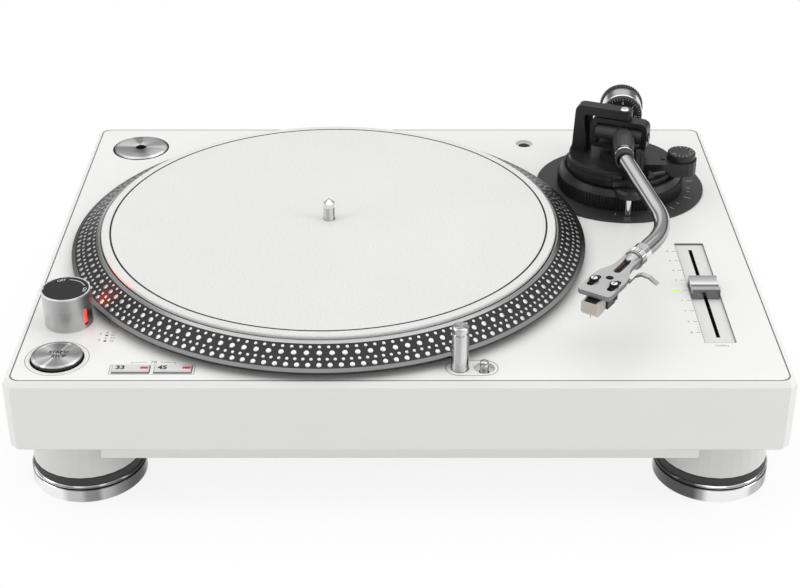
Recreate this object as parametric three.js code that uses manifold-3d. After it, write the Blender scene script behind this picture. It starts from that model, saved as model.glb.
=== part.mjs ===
// A direct-drive DJ turntable with an S-shaped tonearm, in millimetres, +Z up.
// The origin is on the floor, under the middle of the whole outline.
import * as THREE from "three";
import { mergeVertices } from "three/addons/utils/BufferGeometryUtils.js";
import Module from "manifold-3d";

const wasm = await Module();
wasm.setup();

const radians = (degrees) => THREE.MathUtils.degToRad(degrees);

// The other leg of a right triangle, for a piece that stands at a set distance from a round one.
const alongside = (distance, leg) => Math.sqrt(distance * distance - leg * leg);

// Clearances
const running_gap = 0.3;
const button_gap = 0.4;
const overrun = 1;
const merge_distance = 1e-5;

// Casing
const body_width = 450;
const depth_share = 0.78067;
const body_depth = body_width * depth_share;
const deck_height = 90;
const plinth_height = 46.9;
const plinth_wall = 8;
const half_width = body_width / 2;
const half_depth = body_depth / 2;
const plinth_bevel = 2.6;
const corner_chamfer = 4.5;
const panel_thickness = 4;
const panel_inset = 3.6;
const panel_corner = 6;
const ledge_width = 1.6;
const ledge_thickness = 3;
const cover_drop = 9.8;
const cover_thickness = 14.2;
const foot_boss_height = 18;
const cover_notch_radius = 37.8;

// Feet
const foot_margin_x = 36;
const foot_margin_y = 42.85;
const foot_spread_x = half_width - foot_margin_x;
const foot_spread_y = half_depth - foot_margin_y;
const foot_radius = 34.4;
const foot_band = 9.5;
const foot_bevel_height = 1.6;
const foot_bevel_width = 1;
const foot_pad_height = 5.1;
const foot_pad_inset = 1.15;
const foot_groove_height = 0.9;
const foot_groove_depth = 0.6;
const foot_sole_inset = 1.6;
const foot_sole_height = 0.6;
const post_top_radius = 29.5;
const post_bottom_radius = 33;
const stud_radius = 4;
const stud_length = 14;

// Platter and drive
const platter_left_margin = 13.8;
const platter_front_margin = 2.85;
const platter_rear_margin = 17.45;
const lip_radius = (body_depth - platter_front_margin - platter_rear_margin) / 2;
const platter_x = -half_width + platter_left_margin + lip_radius;
const platter_y = -half_depth + platter_front_margin + lip_radius;
const lip_bottom = 3.7;
const lip_height = 2.1;
const lip_slope = 1.1;
const lip_width = 2.6;
const strobe_low_radius = lip_radius - lip_width;
const strobe_low_height = 6.9;
const strobe_width = 14.1;
const strobe_high_radius = strobe_low_radius - strobe_width;
const strobe_high_height = 14.9;
const crown_width = 1.3;
const crown_rise = 1;
const platter_rim_wall = 8;
const platter_web = 4.6;
const mat_margin = 2.9;
const mat_radius = strobe_high_radius - mat_margin;
const mat_top = 18;
const mat_lift = 0.3;
const spindle_radius = 3.6;
const spindle_rise = 14;
const spindle_cone = 2.4;
const spindle_tip_radius = 0.9;
const hub_radius = 18;
const hub_thickness = 4;
const shaft_radius = 4;
const shaft_depth = 36;
const bearing_wall = 6.5;
const bearing_top = 5;
const bearing_flange_radius = 22;
const bearing_flange = 3;
const rotor_outer = 60;
const rotor_inner = 47;
const rotor_bottom = 1.5;
const stator_radius = 66;
const stator_flange_radius = 78;
const stator_flange = 3;
const stator_depth = 22;
const stator_top = -1;
const coil_outer = 44;
const coil_inner = 28;
const coil_top = 7;
const coil_count = 9;
const coil_slot = 6;
const motor_opening = 70;

// Front left controls
const start_side_margin = 27.2;
const start_front_margin = 27.35;
const start_x = -half_width + start_side_margin;
const start_y = -half_depth + start_front_margin;
const tower_start_pitch = 42;
const tower_platter_gap = 16.3;
const tower_y = start_y + tower_start_pitch;
const tower_x = platter_x - alongside(lip_radius + tower_platter_gap, tower_y - platter_y);
const tower_radius = 14.2;
const tower_foot_radius = 14.4;
const tower_foot = 0.6;
const tower_height = 12.7;
const cap_radius = 14.6;
const cap_height = 9.5;
const cap_bevel = 0.8;
const cap_dish_radius = 12.6;
const cap_dish = 0.6;
const cap_notch_width = 2.4;
const cap_notch_depth = 1.6;
const window_width = 5;
const window_bottom = 2.2;
const window_depth = 2;
const window_degrees = -36;
const start_radius = 14.8;
const start_well_gap = 0.9;
const start_rise = 2.8;
const start_bevel = 1.4;
const start_bevel_rise = 0.6;
const start_depth = 5;
const start_dish_radius = 12.4;
const start_dish = 0.2;
const button_width = 21.3;
const button_length = 7.4;
const button_pitch = 24.1;
const button_side_margin = 71.45;
const button_front_margin = 15.55;
const button_x = -half_width + button_side_margin;
const button_y = -half_depth + button_front_margin;
const button_rise = 1.2;
const button_depth = 4;
const button_bevel = 0.4;
const pocket_wall = 1.5;
const pocket_floor = 2;
const button_travel = 1.5;
const target_platter_gap = 5.5;
const target_front_margin = 17.15;
const target_y = -half_depth + target_front_margin;
const target_x = platter_x + alongside(lip_radius + target_platter_gap, target_y - platter_y);
const target_radius = 5;
const target_rise = 28;
const target_depth = 12;
const target_travel = 26;
const target_head = 3.4;
const target_neck = 1;
const target_neck_radius = 4.5;
const release_pitch = 14;
const release_x = target_x + release_pitch;
const release_y = target_y;
const release_recess_radius = 6.1;
const release_recess_depth = 2.4;
const release_radius = 2.55;
const release_rise = 4.5;
const release_depth = 9;
const release_head = 0.8;
const release_travel = 3;

// Pitch fader
const fader_side_margin = 37;
const fader_front_margin = 106.45;
const fader_x = half_width - fader_side_margin;
const fader_zero_y = -half_depth + fader_front_margin;
const fader_recess_width = 18.8;
const fader_recess_front = 62;
const fader_recess_back = 61.4;
const fader_recess_depth = 1.2;
const fader_slot_width = 2.3;
const fader_slot_reach = 54.3;
const fader_knob_width = 17;
const fader_knob_length = 19;
const fader_knob_height = 6.4;
const fader_knob_end = 2.2;
const fader_saddle_depth = 2.2;
const fader_stem_width = 1.6;
const fader_stem_length = 5;
const fader_stem_depth = 14;
const fader_box_width = 26;
const fader_box_margin = 8;
const fader_box_depth = 20;
const fader_box_wall = 2.5;

// Stored pieces at the back of the deck
const adaptor_side_margin = 35.7;
const adaptor_rear_margin = 36.05;
const adaptor_x = -half_width + adaptor_side_margin;
const adaptor_y = half_depth - adaptor_rear_margin;
const adaptor_radius = 19.2;
const adaptor_recess_radius = 20.4;
const adaptor_rise = 1.2;
const adaptor_depth = 4.6;
const adaptor_bevel = 1.6;
const adaptor_bore = 3.75;

// Tonearm plate, height ring and base
const arm_platter_gap = 50.73;
const arm_bearing_degrees = 23.24;
const arm_distance = lip_radius + arm_platter_gap;
const arm_x = platter_x + arm_distance * Math.cos(radians(arm_bearing_degrees));
const arm_y = platter_y + arm_distance * Math.sin(radians(arm_bearing_degrees));
const holder_arm_pitch = 61.7;
const holder_rear_margin = 28.15;
const holder_x = arm_x - holder_arm_pitch;
const holder_y = half_depth - holder_rear_margin;
const holder_radius = 6;
const holder_bore = 4.3;
const holder_drop = 1.6;
const holder_depth = 36;
const holder_floor = 2;
const holder_flange_radius = 11;
const holder_flange = 2;
const plate_radius = 57.6;
const plate_thickness = 1.2;
const ring_radius = 43.2;
const ring_rim_radius = 40.2;
const ring_bottom = 1.5;
const ring_knurl_height = 9.6;
const ring_top = 15.5;
const ring_bore = 36;
const ring_rim_width = 1.6;
const ring_dish = 1.4;
const ring_ribs = 116;
const rib_depth = 0.9;
const neck_depth = 12;
const base_disc_bottom = 16;
const base_disc_top = 19;
const base_disc_radius = 37;
const base_wall_radius = 41.4;
const base_wall_bottom = 21.6;
const base_wall_top = 25.1;
const base_wall_width = 2.5;
const base_wall_root_radius = 36;
const base_wall_left = 38;
const base_wall_right = 8;
const base_wall_back = -15.4;
const base_floor_back = 19;
const base_floor_radius = 24;
const base_floor = 22.4;
const collar_radius = 15;
const collar_top = 24.4;
const lift_boss_radius = 9.4;
const lift_boss_y = -47.5;
const lift_boss_bottom = 16.3;
const lift_boss_top = 21.5;
const lift_boss_bevel = 1.6;

// Pivot bracket and yoke
const bearing_height = 39.5;
const yoke_degrees = -22;
const bracket_reach = 33.2;
const bracket_width = 6.5;
const bracket_depth = 9;
const bracket_top = 57.5;
const bracket_arm = 6.3;
const bracket_overhang = 5.5;
const bracket_corner = 5;
const bracket_lean = 1.5;
const bracket_fillet = 2;
const bracket_end = 3.5;
const bracket_post_back = 7;
const bracket_post_top = 50;
const bracket_web_reach = 3.2;
const pivot_screw_radius = 3.1;
const pivot_screw_head = 0.7;
const pivot_screw_pin = 1.4;
const yoke_left = 22;
const yoke_right = 17.6;
const yoke_half_height = 10.8;
const yoke_bar = 3.2;
const yoke_depth = 10;
const yoke_corner = 5;
const yoke_cut_corner = 3;
const yoke_foot_radius = 8;
const yoke_screw_radius = 3;
const yoke_screw_rise = 0.7;

// Tonearm, forward along its own axis from the pivot
const arm_degrees = -5.3;
const axle_radius = 5.8;
const axle_gap = 0.4;
const housing_back = 11;
const housing_back_radius = 5;
const housing_waist = 6.2;
const housing_waist_half = 6;
const housing_radius = 7.3;
const housing_belly_start = 10;
const housing_belly_end = 18;
const housing_front = 31;
const housing_front_radius = 6.3;
const tail_radius = 4.6;
const tail_length = 54;
const tube_radius = 5;
const tube_bore = 3.6;
const tube_wall = tube_radius - tube_bore;
const tube_socket = 6;
const seal_start = 33;
const seal_length = 3;
const seal_radius = 5.8;
const first_reach = 40;
const first_turn = 13.9;
const first_bend = 4;
const second_reach = 100.7;
const second_turn = -41.6;
const second_bend = 24;
const third_reach = 36.4;
const nose_radius = 4;
const nose_bore = 2.8;
const nose_length = 3;
const lock_radius = 6.4;
const lock_length = 12;
const lock_back_radius = 5.9;
const lock_knurl = 5;
const lock_ribs = 36;
const lock_rib_depth = 0.4;

// Headshell, forward from its washer
const shell_length = 52.5;
const shell_half_width = 10.3;
const shell_rear_half_width = 5.2;
const shell_waist_share = 0.22;
const shell_shoulder_share = 0.6;
const shell_nose_corner = 1.6;
const shell_rise = 3;
const shell_thickness = 3;
const shell_neck_radius = 6;
const shell_neck_length = 15;
const shell_neck_tip_radius = 3.2;
const shell_plug_radius = 3.7;
const shell_plug_length = 9;
const washer_thickness = 1;
const slot_half_pitch = 6.35;
const slot_margin = 13.5;
const slot_middle = shell_length - slot_margin;
const slot_length = 13.5;
const slot_width = 4.2;
const window_middle_share = 0.297;
const window_length_share = 0.333;
const window_middle = shell_length * window_middle_share;
const shell_window_length = shell_length * window_length_share;
const shell_window_width = 4.4;
const shell_hole_margin = 20.8;
const shell_hole_middle = shell_length - shell_hole_margin;
const shell_hole_radius = 1.8;
const shell_window_depth = 1.2;
const mount_screw_radius = 1.25;
const mount_head_radius = 2.6;
const mount_head_height = 1.4;
const mount_nut_height = 2;
const lift_share = 0.406;
const lift_start = shell_length * lift_share;
const lift_width = 3.4;
const lift_thickness = 1.2;
const lift_reach = 15.6;
const lift_edge = 9.6;
const lift_bend = 5;
const lift_tip_rise = 4;
const lift_crest = 11;
const lift_tongue = 5.3;
const cartridge_half_width = 8.2;
const cartridge_top_thickness = 3;
const cartridge_slot_lead = 6;
const cartridge_start = slot_middle - cartridge_slot_lead;
const cartridge_length = 12;
const cartridge_body_half_width = 6.2;
const cartridge_body_depth = 9.6;
const cartridge_back_slope = 3;
const cartridge_back_reach = 2;
const contact_pin_radius = 0.6;
const contact_pin_length = 5;
const contact_pin_pitch = 3.4;
const contact_pin_drop = 2.2;
const guard_half_width = 4.9;
const guard_start = cartridge_start + cartridge_length + running_gap;
const guard_length = 11.7;
const guard_depth = 8.9;
const guard_top_drop = 1.6;
const guard_chamfer = 2.4;
const guard_socket = 4;
const guard_plug_inset = 1.4;
const cantilever_radius = 0.5;
const stylus_guard_reach = 8.7;
const stylus_reach = guard_start + stylus_guard_reach;
const stylus_drop = 16.5;

// Counterweight and dial, backward from the pivot
const dial_start = 30;
const dial_length = 3.4;
const dial_radius = 13.9;
const dial_bevel = 0.8;
const weight_start = 33.7;
const weight_ring_radius = 14.2;
const weight_ring_length = 12.3;
const weight_radius = 15;
const weight_length = 18.8;
const weight_bevel = 0.8;
const weight_ribs = 54;
const weight_rib_depth = 0.5;

// Anti-skate unit, cue lever, lifter and arm rest
const skate_front = -20.4;
const skate_left = 12.5;
const skate_top = 25.5;
const skate_back_left = 20;
const skate_back_high = 8.3;
const skate_back_right = 31;
const skate_back_low = -1;
const skate_knob_x = 39.6;
const skate_knob_y = -9.6;
const skate_knob_radius = 9.5;
const skate_knob_top = 30.4;
const skate_knob_bevel = 0.6;
const skate_post_radius = 2;
const skate_post_top = 24;
const skate_screw_x = 26.9;
const skate_screw_y = -10.7;
const skate_screw_radius = 1.6;
const skate_screw_rise = 0.6;
const skate_floor = 15.8;
const skate_floor_thickness = 1.8;
const rest_x = 5.2;
const rest_y = -28;
const rest_wall = 3.2;
const rest_depth = 5.6;
const rest_top = 40.5;
const rest_slant = 3;
const rest_saddle = 31.4;
const rest_saddle_thickness = 2.4;
const rest_saddle_reach = 11;
const clamp_width = 2.2;
const clamp_bottom = 26.2;
const clamp_top = 38.4;
const lever_x = 16;
const lever_y = -29;
const lever_height = 21.8;
const lever_eye_radius = 2.4;
const lever_width = 3;
const lever_length = 9;
const lever_tip_radius = 1.3;
const lever_tip_length = 2.2;
const lever_degrees = 113;
const lifter_radius = 2.1;
const lifter_low = 1.6;
const lifter_link_bottom = 22;
const lifter_link_top = 25.1;
const lifter_bar_bottom = 25.4;
const lifter_top = 28;
const lifter_bar_from = 202;
const lifter_bar_to = 256;
const lifter_block_left = 11.2;
const lifter_block_right = 5.2;
const lifter_block_back = 36;
const lifter_block_front = 44;

// Rear bay and its connectors
const bay_side_margin = 155;
const bay_x = -half_width + bay_side_margin;
const bay_width = 120;
const bay_depth = 24;
const bay_height = 30;
const bay_top = -10;
const jack_panel_thickness = 2.5;
const rca_offset_x = 44;
const rca_pitch = 16;
const rca_radius = 4.2;
const rca_flange_radius = 6;
const rca_flange = 1.4;
const rca_length = 9;
const rca_bore = 3.2;
const rca_bore_depth = 7;
const rca_pin_radius = 0.8;
const socket_tail = 8;
const ground_offset_x = 10;
const ground_radius = 4.6;
const ground_length = 7;
const ground_stem_radius = 2;
const ground_stem_length = 4;
const ground_ribs = 20;
const ground_rib_depth = 0.35;
const switch_offset_x = -12;
const switch_width = 4;
const switch_height = 6;
const switch_reach = 3;
const switch_tail = 4;
const switch_slot_width = 11;
const usb_offset_x = -36;
const usb_width = 12;
const usb_height = 11;
const usb_wall = 0.8;
const usb_depth = 9;
const usb_tail = 7;
const usb_tongue_width = 5.4;
const usb_tongue_height = 3;
const inlet_side_margin = 185;
const inlet_x = half_width - inlet_side_margin;
const inlet_width = 28;
const inlet_height = 22;
const inlet_flange = 2;
const inlet_flange_margin = 3;
const inlet_depth = 24;
const inlet_bay_margin = 3.6;
const inlet_bay_depth = 10;
const inlet_hollow_width = 22;
const inlet_hollow_height = 15;
const inlet_hollow_depth = 16;
const inlet_blade_width = 2;
const inlet_blade_height = 5;
const inlet_blade_length = 11;
const inlet_blade_pitch = 7;
const hinge_side_margin = 70;
const hinge_x = half_width - hinge_side_margin;
const hinge_width = 44;
const hinge_reach = 15;
const hinge_top = -9.4;
const hinge_height = 30;
const hinge_slot_width = 30;
const hinge_slot_depth = 7;
const hinge_slot_drop = 24;
const hinge_chamfer = 4;

// Boards inside
const board_width = 130;
const board_length = 90;
const board_thickness = 1.6;
const board_side_margin = 115;
const board_rear_margin = 125.65;
const board_x = -half_width + board_side_margin;
const board_y = half_depth - board_rear_margin;
const standoff_radius = 4;
const board_lift = 6;
const chip_size = 16;
const chip_height = 4;
const heatsink_length = 50;
const heatsink_width = 14;
const heatsink_height = 12;
const supply_width = 95;
const supply_length = 60;
const supply_side_margin = 125;
const supply_rear_margin = 67.65;
const supply_x = half_width - supply_side_margin;
const supply_y = half_depth - supply_rear_margin;
const transformer_size = 26;
const transformer_height = 18;
const capacitor_radius = 8;
const capacitor_height = 16;

// Facets and turns
const quarter_turn = 90;
const half_turn = 180;
const fine_sides = 72;
const round_sides = 30;
const small_sides = 18;
const tiny_sides = 12;
const arc_steps = 4;
const tube_sides = 8;
const tube_rings = 28;

// Colour, roughness and metalness of each finish
const finishes = {
  white_lacquer: [0xe9e9e6, 0.35, 0],
  white_plastic: [0xe6e6e3, 0.3, 0],
  weight_steel: [0x9a9a97, 0.35, 1],
  polished_aluminium: [0xdadada, 0.12, 1],
  black_plastic: [0x161616, 0.5, 0],
  grey_plastic: [0x4a4a48, 0.5, 0],
  black_rubber: [0x101010, 0.8, 0],
  grey_metal: [0x5b5b58, 0.4, 0.6],
  satin_metal: [0xb4b4b2, 0.35, 1],
  chrome: [0xdedede, 0.12, 1],
  cast_aluminium: [0x8d8d8b, 0.4, 1],
  strobe_black: [0x1b1b1d, 0.4, 0.2],
  felt: [0xebe9e3, 0.95, 0],
  brass: [0xb08d45, 0.35, 1],
  board_green: [0x1f4a2c, 0.6, 0],
  copper: [0xa8622d, 0.4, 1],
  magnet: [0x2c2c2e, 0.6, 0.3],
  beige_plastic: [0xcfc6bc, 0.4, 0],
  lamp_clear: [0xd8d8da, 0.2, 0.4],
};

// Geometry helpers
function solidOf(geometry) {
  const bare = new THREE.BufferGeometry();
  bare.setAttribute("position", geometry.getAttribute("position"));
  bare.setIndex(geometry.getIndex());
  const merged = mergeVertices(bare, merge_distance);
  const corners = merged.index.array;
  const kept = [];
  for (let i = 0; i < corners.length; i += 3) {
    const [a, b, c] = corners.slice(i, i + 3);
    if (a !== b && b !== c && c !== a) kept.push(a, b, c);
  }
  const triVerts = new Uint32Array(kept);
  const vertProperties = merged.getAttribute("position").array;
  return new wasm.Manifold(new wasm.Mesh({ numProp: 3, vertProperties, triVerts }));
}

const cut = (base, ...tools) => tools.reduce((left, tool) => left.subtract(tool), base);
const join = (base, ...more) => more.reduce((sum, solid) => sum.add(solid), base);

function moved(solid, x, y, z) {
  return solid.translate([x, y, z]);
}

function turned(solid, degrees) {
  return solid.rotate([0, 0, degrees]);
}

function revolve(profile, sides = round_sides) {
  const points = profile.map(([radius, height]) => new THREE.Vector2(radius, height));
  return solidOf(new THREE.LatheGeometry(points, sides).rotateX(Math.PI / 2));
}

function drum(radius, low, high, sides = round_sides) {
  return revolve([[0, low], [radius, low], [radius, high], [0, high]], sides);
}

function ring(inner, outer, low, high, sides = round_sides) {
  return revolve([[inner, low], [outer, low], [outer, high], [inner, high], [inner, low]], sides);
}

function slab(left, right, front, back, low, high) {
  const block = new THREE.BoxGeometry(right - left, back - front, high - low);
  block.translate((left + right) / 2, (front + back) / 2, (low + high) / 2);
  return solidOf(block);
}

function prism(outline, low, high) {
  const sides = { depth: high - low, bevelEnabled: false, curveSegments: arc_steps };
  return solidOf(new THREE.ExtrudeGeometry(outline, sides).translate(0, 0, low));
}

function bevelled(outline, low, high, bevel) {
  const sides = {
    depth: high - low - 2 * bevel,
    bevelThickness: bevel,
    bevelSize: bevel,
    bevelOffset: -bevel,
    bevelSegments: 1,
    curveSegments: arc_steps,
  };
  return solidOf(new THREE.ExtrudeGeometry(outline, sides).translate(0, 0, low + bevel));
}

function outlineOf(points) {
  return new THREE.Shape(points.map(([x, y]) => new THREE.Vector2(x, y)));
}

function roundedOutline(half_width, half_height, radius) {
  const shape = new THREE.Shape();
  const x = half_width - radius;
  const y = half_height - radius;
  shape.absarc(x, y, radius, 0, Math.PI / 2);
  shape.absarc(-x, y, radius, Math.PI / 2, Math.PI);
  shape.absarc(-x, -y, radius, Math.PI, 1.5 * Math.PI);
  shape.absarc(x, -y, radius, 1.5 * Math.PI, 2 * Math.PI);
  return shape;
}

function chamferedOutline(width, depth, chamfer) {
  const x = width / 2;
  const y = depth / 2;
  return outlineOf([
    [x, -y + chamfer], [x, y - chamfer], [x - chamfer, y], [-x + chamfer, y],
    [-x, y - chamfer], [-x, -y + chamfer], [-x + chamfer, -y], [x - chamfer, -y],
  ]);
}

function ribbedOutline(radius, ribs, depth) {
  const points = [];
  for (let i = 0; i < ribs; i++) {
    const angle = (2 * Math.PI * i) / ribs;
    const next = angle + Math.PI / ribs;
    points.push([radius * Math.cos(angle), radius * Math.sin(angle)]);
    points.push([(radius - depth) * Math.cos(next), (radius - depth) * Math.sin(next)]);
  }
  return outlineOf(points);
}

// Stands a solid drawn in the XY plane upright, so that its own Y becomes Z.
function upright(solid) {
  return solid.rotate([quarter_turn, 0, 0]);
}

// Stands a side view upright, so that its own X becomes Y and its own Y becomes Z.
function endways(solid) {
  return turned(upright(solid), quarter_turn);
}

// Lay a solid drawn along +Z down, towards the front, the rear or the right.
function forward(solid) {
  return solid.rotate([quarter_turn, 0, 0]);
}

function toRear(solid) {
  return solid.rotate([-quarter_turn, 0, 0]);
}

function sideways(solid) {
  return solid.rotate([0, quarter_turn, 0]);
}

function mesh(name, finish, solid) {
  const made = solid.getMesh();
  const geometry = new THREE.BufferGeometry();
  geometry.setAttribute("position", new THREE.BufferAttribute(made.vertProperties, 3));
  geometry.setIndex(new THREE.BufferAttribute(made.triVerts, 1));
  geometry.computeVertexNormals();
  const [color, roughness, metalness] = finishes[finish];
  const piece = new THREE.Mesh(geometry, new THREE.MeshStandardMaterial({ color, roughness, metalness }));
  piece.name = name;
  return piece;
}

function groupAt(x, y, z, ...pieces) {
  const group = new THREE.Group();
  group.position.set(x, y, z);
  group.add(...pieces);
  return group;
}

// Casing
const cavity_width = body_width - 2 * plinth_wall;
const cavity_depth = body_depth - 2 * plinth_wall;
const plinth_bottom = -plinth_height;
const post_height = deck_height - plinth_height - foot_band - foot_bevel_height - foot_groove_height
  - foot_pad_height - running_gap;
const panel_bottom = -panel_thickness;
const pocket_radius = start_radius + start_well_gap;
const feet = [[-1, -1, "front_left"], [1, -1, "front_right"], [-1, 1, "rear_left"], [1, 1, "rear_right"]];

function panelOutline(gap) {
  const inset = panel_inset + gap;
  return roundedOutline(body_width / 2 - inset, half_depth - inset, panel_corner);
}

function footSpots(radius, low, high) {
  const spot = drum(radius, low, high, small_sides);
  return feet.map(([x, y]) => moved(spot, x * foot_spread_x, y * foot_spread_y, 0));
}

function plinth() {
  const outline = chamferedOutline(body_width, body_depth, corner_chamfer);
  const outer = bevelled(outline, plinth_bottom, 0, plinth_bevel);
  const inner = chamferedOutline(cavity_width, cavity_depth, corner_chamfer);
  const ledge = chamferedOutline(
    cavity_width - 2 * ledge_width, cavity_depth - 2 * ledge_width, corner_chamfer,
  );
  const shell = cut(
    outer,
    prism(inner, plinth_bottom - overrun, panel_bottom - ledge_thickness),
    prism(ledge, panel_bottom - ledge_thickness - overrun, panel_bottom + overrun),
    prism(panelOutline(0), panel_bottom, overrun),
  );
  const corners = prism(inner, plinth_bottom, plinth_bottom + foot_boss_height);
  const bosses = footSpots(post_bottom_radius, plinth_bottom, plinth_bottom + foot_boss_height);
  const kept = bosses.map((boss) => boss.intersect(corners));
  const bay_back = half_depth + overrun;
  const bay = slab(
    -bay_width / 2, bay_width / 2, half_depth - bay_depth, bay_back, bay_top - bay_height, bay_top,
  );
  const bay_wall = slab(
    -bay_width / 2 - jack_panel_thickness, bay_width / 2 + jack_panel_thickness,
    half_depth - bay_depth, half_depth - plinth_wall / 2,
    bay_top - bay_height - jack_panel_thickness, bay_top + jack_panel_thickness,
  );
  const inlet_low = bay_top - bay_height / 2 - inlet_height / 2 - inlet_bay_margin;
  const inlet_half = inlet_width / 2 + inlet_bay_margin;
  const inlet_high = inlet_low + inlet_height + 2 * inlet_bay_margin;
  const inlet_bay = slab(
    inlet_x - inlet_half, inlet_x + inlet_half, half_depth - inlet_bay_depth, bay_back, inlet_low, inlet_high,
  );
  const inlet_wall = slab(
    inlet_x - inlet_half - jack_panel_thickness, inlet_x + inlet_half + jack_panel_thickness,
    half_depth - inlet_bay_depth - jack_panel_thickness, half_depth - plinth_wall / 2,
    inlet_low - jack_panel_thickness, inlet_high + jack_panel_thickness,
  );
  const inlet_hole = slab(
    inlet_x - inlet_width / 2 - running_gap, inlet_x + inlet_width / 2 + running_gap,
    half_depth - 2 * inlet_depth, half_depth,
    bay_top - bay_height / 2 - inlet_height / 2 - running_gap,
    bay_top - bay_height / 2 + inlet_height / 2 + running_gap,
  );
  return cut(
    join(shell, ...kept, moved(bay_wall, bay_x, 0, 0), inlet_wall),
    moved(bay, bay_x, 0, 0), inlet_bay, inlet_hole,
  );
}

// The hole or pocket that each control needs in the deck, and the cup under it.
function cup(radius, depth) {
  return drum(radius + pocket_wall, -depth - pocket_floor, panel_bottom, small_sides);
}

function topPanel() {
  const plate = prism(panelOutline(button_gap), panel_bottom, 0);
  const start_bottom = start_depth + button_travel;
  const button_bottom = button_depth + button_travel;
  const half_x = button_width / 2 + button_gap;
  const half_y = button_length / 2 + button_gap;
  const button_cup = slab(
    -half_x - pocket_wall, button_pitch + half_x + pocket_wall, -half_y - pocket_wall, half_y + pocket_wall,
    -button_bottom - pocket_floor, panel_bottom,
  );
  const target_bottom = target_depth + target_travel;
  const cups = [
    moved(cup(pocket_radius, start_bottom), start_x, start_y, 0),
    moved(button_cup, button_x, button_y, 0),
    moved(cup(target_radius + button_gap, target_bottom), target_x, target_y, 0),
    moved(cup(release_radius + button_gap, release_depth + release_travel), release_x, release_y, 0),
    moved(cup(adaptor_recess_radius, adaptor_depth), adaptor_x, adaptor_y, 0),
  ];
  const button_hole = slab(-half_x, half_x, -half_y, half_y, -button_bottom, overrun);
  const slot_half = fader_slot_width / 2;
  const recess_half = fader_recess_width / 2;
  const cuts = [
    moved(drum(motor_opening, panel_bottom - overrun, overrun, fine_sides), platter_x, platter_y, 0),
    moved(drum(pocket_radius, -start_bottom, overrun), start_x, start_y, 0),
    moved(button_hole, button_x, button_y, 0),
    moved(button_hole, button_x + button_pitch, button_y, 0),
    moved(drum(target_radius + button_gap, -target_bottom, overrun, small_sides), target_x, target_y, 0),
    moved(drum(release_recess_radius, -release_recess_depth, overrun, small_sides), release_x, release_y, 0),
    moved(drum(release_radius + button_gap, -release_depth - release_travel, overrun, small_sides),
      release_x, release_y, 0),
    moved(drum(adaptor_recess_radius, -adaptor_depth, overrun), adaptor_x, adaptor_y, 0),
    moved(drum(holder_radius + running_gap, panel_bottom - overrun, overrun, small_sides),
      holder_x, holder_y, 0),
    moved(
      slab(-recess_half, recess_half, -fader_recess_front, fader_recess_back, -fader_recess_depth, overrun),
      fader_x, fader_zero_y, 0,
    ),
    moved(slab(-slot_half, slot_half, -fader_slot_reach, fader_slot_reach, panel_bottom - overrun, overrun),
      fader_x, fader_zero_y, 0),
    moved(drum(ring_bore, panel_bottom - overrun, overrun), arm_x, arm_y, 0),
  ];
  return cut(join(plate, ...cups), ...cuts);
}

// The cover hangs below the casing and stands back from the feet at its corners.
function baseCover() {
  const low = plinth_bottom - cover_drop;
  const top = low + cover_thickness;
  const inset = 2 * running_gap;
  const outline = chamferedOutline(cavity_width - inset, cavity_depth - inset, corner_chamfer);
  const notch_top = plinth_bottom - running_gap;
  const outward = (side, start) => (side > 0 ? [start, body_width] : [-body_width, -start]);
  const corners = feet.map(([x, y]) => slab(
    ...outward(x, foot_spread_x), ...outward(y, foot_spread_y), low - overrun, notch_top,
  ));
  return cut(
    prism(outline, low, top),
    ...footSpots(post_bottom_radius + running_gap, low - overrun, top + overrun),
    ...footSpots(cover_notch_radius, low - overrun, notch_top),
    ...corners,
  );
}

// Feet
function footPost() {
  const bore = stud_radius + running_gap;
  const bore_top = -post_height + stud_length + running_gap;
  return revolve([
    [bore, -post_height], [post_bottom_radius, -post_height], [post_top_radius, 0],
    [0, 0], [0, bore_top], [bore, bore_top], [bore, -post_height],
  ]);
}

function foot() {
  const groove_top = foot_band + foot_groove_height;
  const bevel_top = groove_top + foot_bevel_height;
  const pad_top = bevel_top + foot_pad_height;
  const groove_radius = foot_radius - foot_groove_depth;
  const bevel_radius = foot_radius - foot_bevel_width;
  const pad_radius = foot_radius - foot_pad_inset;
  return revolve([
    [0, 0], [foot_radius - foot_sole_inset, 0], [foot_radius - foot_sole_inset, foot_sole_height],
    [foot_radius, foot_sole_height], [foot_radius, foot_band], [groove_radius, foot_band],
    [groove_radius, groove_top], [foot_radius, groove_top], [bevel_radius, bevel_top],
    [pad_radius, bevel_top],
    [pad_radius, pad_top], [stud_radius, pad_top], [stud_radius, pad_top + stud_length],
    [0, pad_top + stud_length],
  ]);
}

function legAt(x, y, corner) {
  const post = groupAt(0, 0, plinth_bottom, mesh("foot_post_" + corner, "white_plastic", footPost()));
  const disc = groupAt(0, 0, -deck_height, mesh("foot_" + corner, "chrome", foot()));
  return groupAt(x * foot_spread_x, y * foot_spread_y, 0, post, disc);
}

const feet_group = groupAt(0, 0, 0, ...feet.map(([x, y, corner]) => legAt(x, y, corner)));

// Platter and drive, around the spindle axis
const platter_under = strobe_high_height - platter_web;
const spindle_bore = spindle_radius + running_gap;

function platter() {
  const crown = strobe_high_radius - crown_width;
  return revolve([
    [spindle_bore, platter_under], [lip_radius - platter_rim_wall - platter_web, platter_under],
    [lip_radius - platter_rim_wall, lip_bottom], [lip_radius - lip_slope, lip_bottom],
    [lip_radius, lip_bottom + lip_slope], [lip_radius, lip_bottom + lip_height],
    [strobe_low_radius, strobe_low_height], [strobe_high_radius, strobe_high_height],
    [crown, strobe_high_height + crown_rise], [mat_radius + running_gap, strobe_high_height],
    [spindle_bore, strobe_high_height], [spindle_bore, platter_under],
  ], fine_sides);
}

function slipmat() {
  return ring(spindle_bore, mat_radius, strobe_high_height + mat_lift, mat_top, fine_sides);
}

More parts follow.
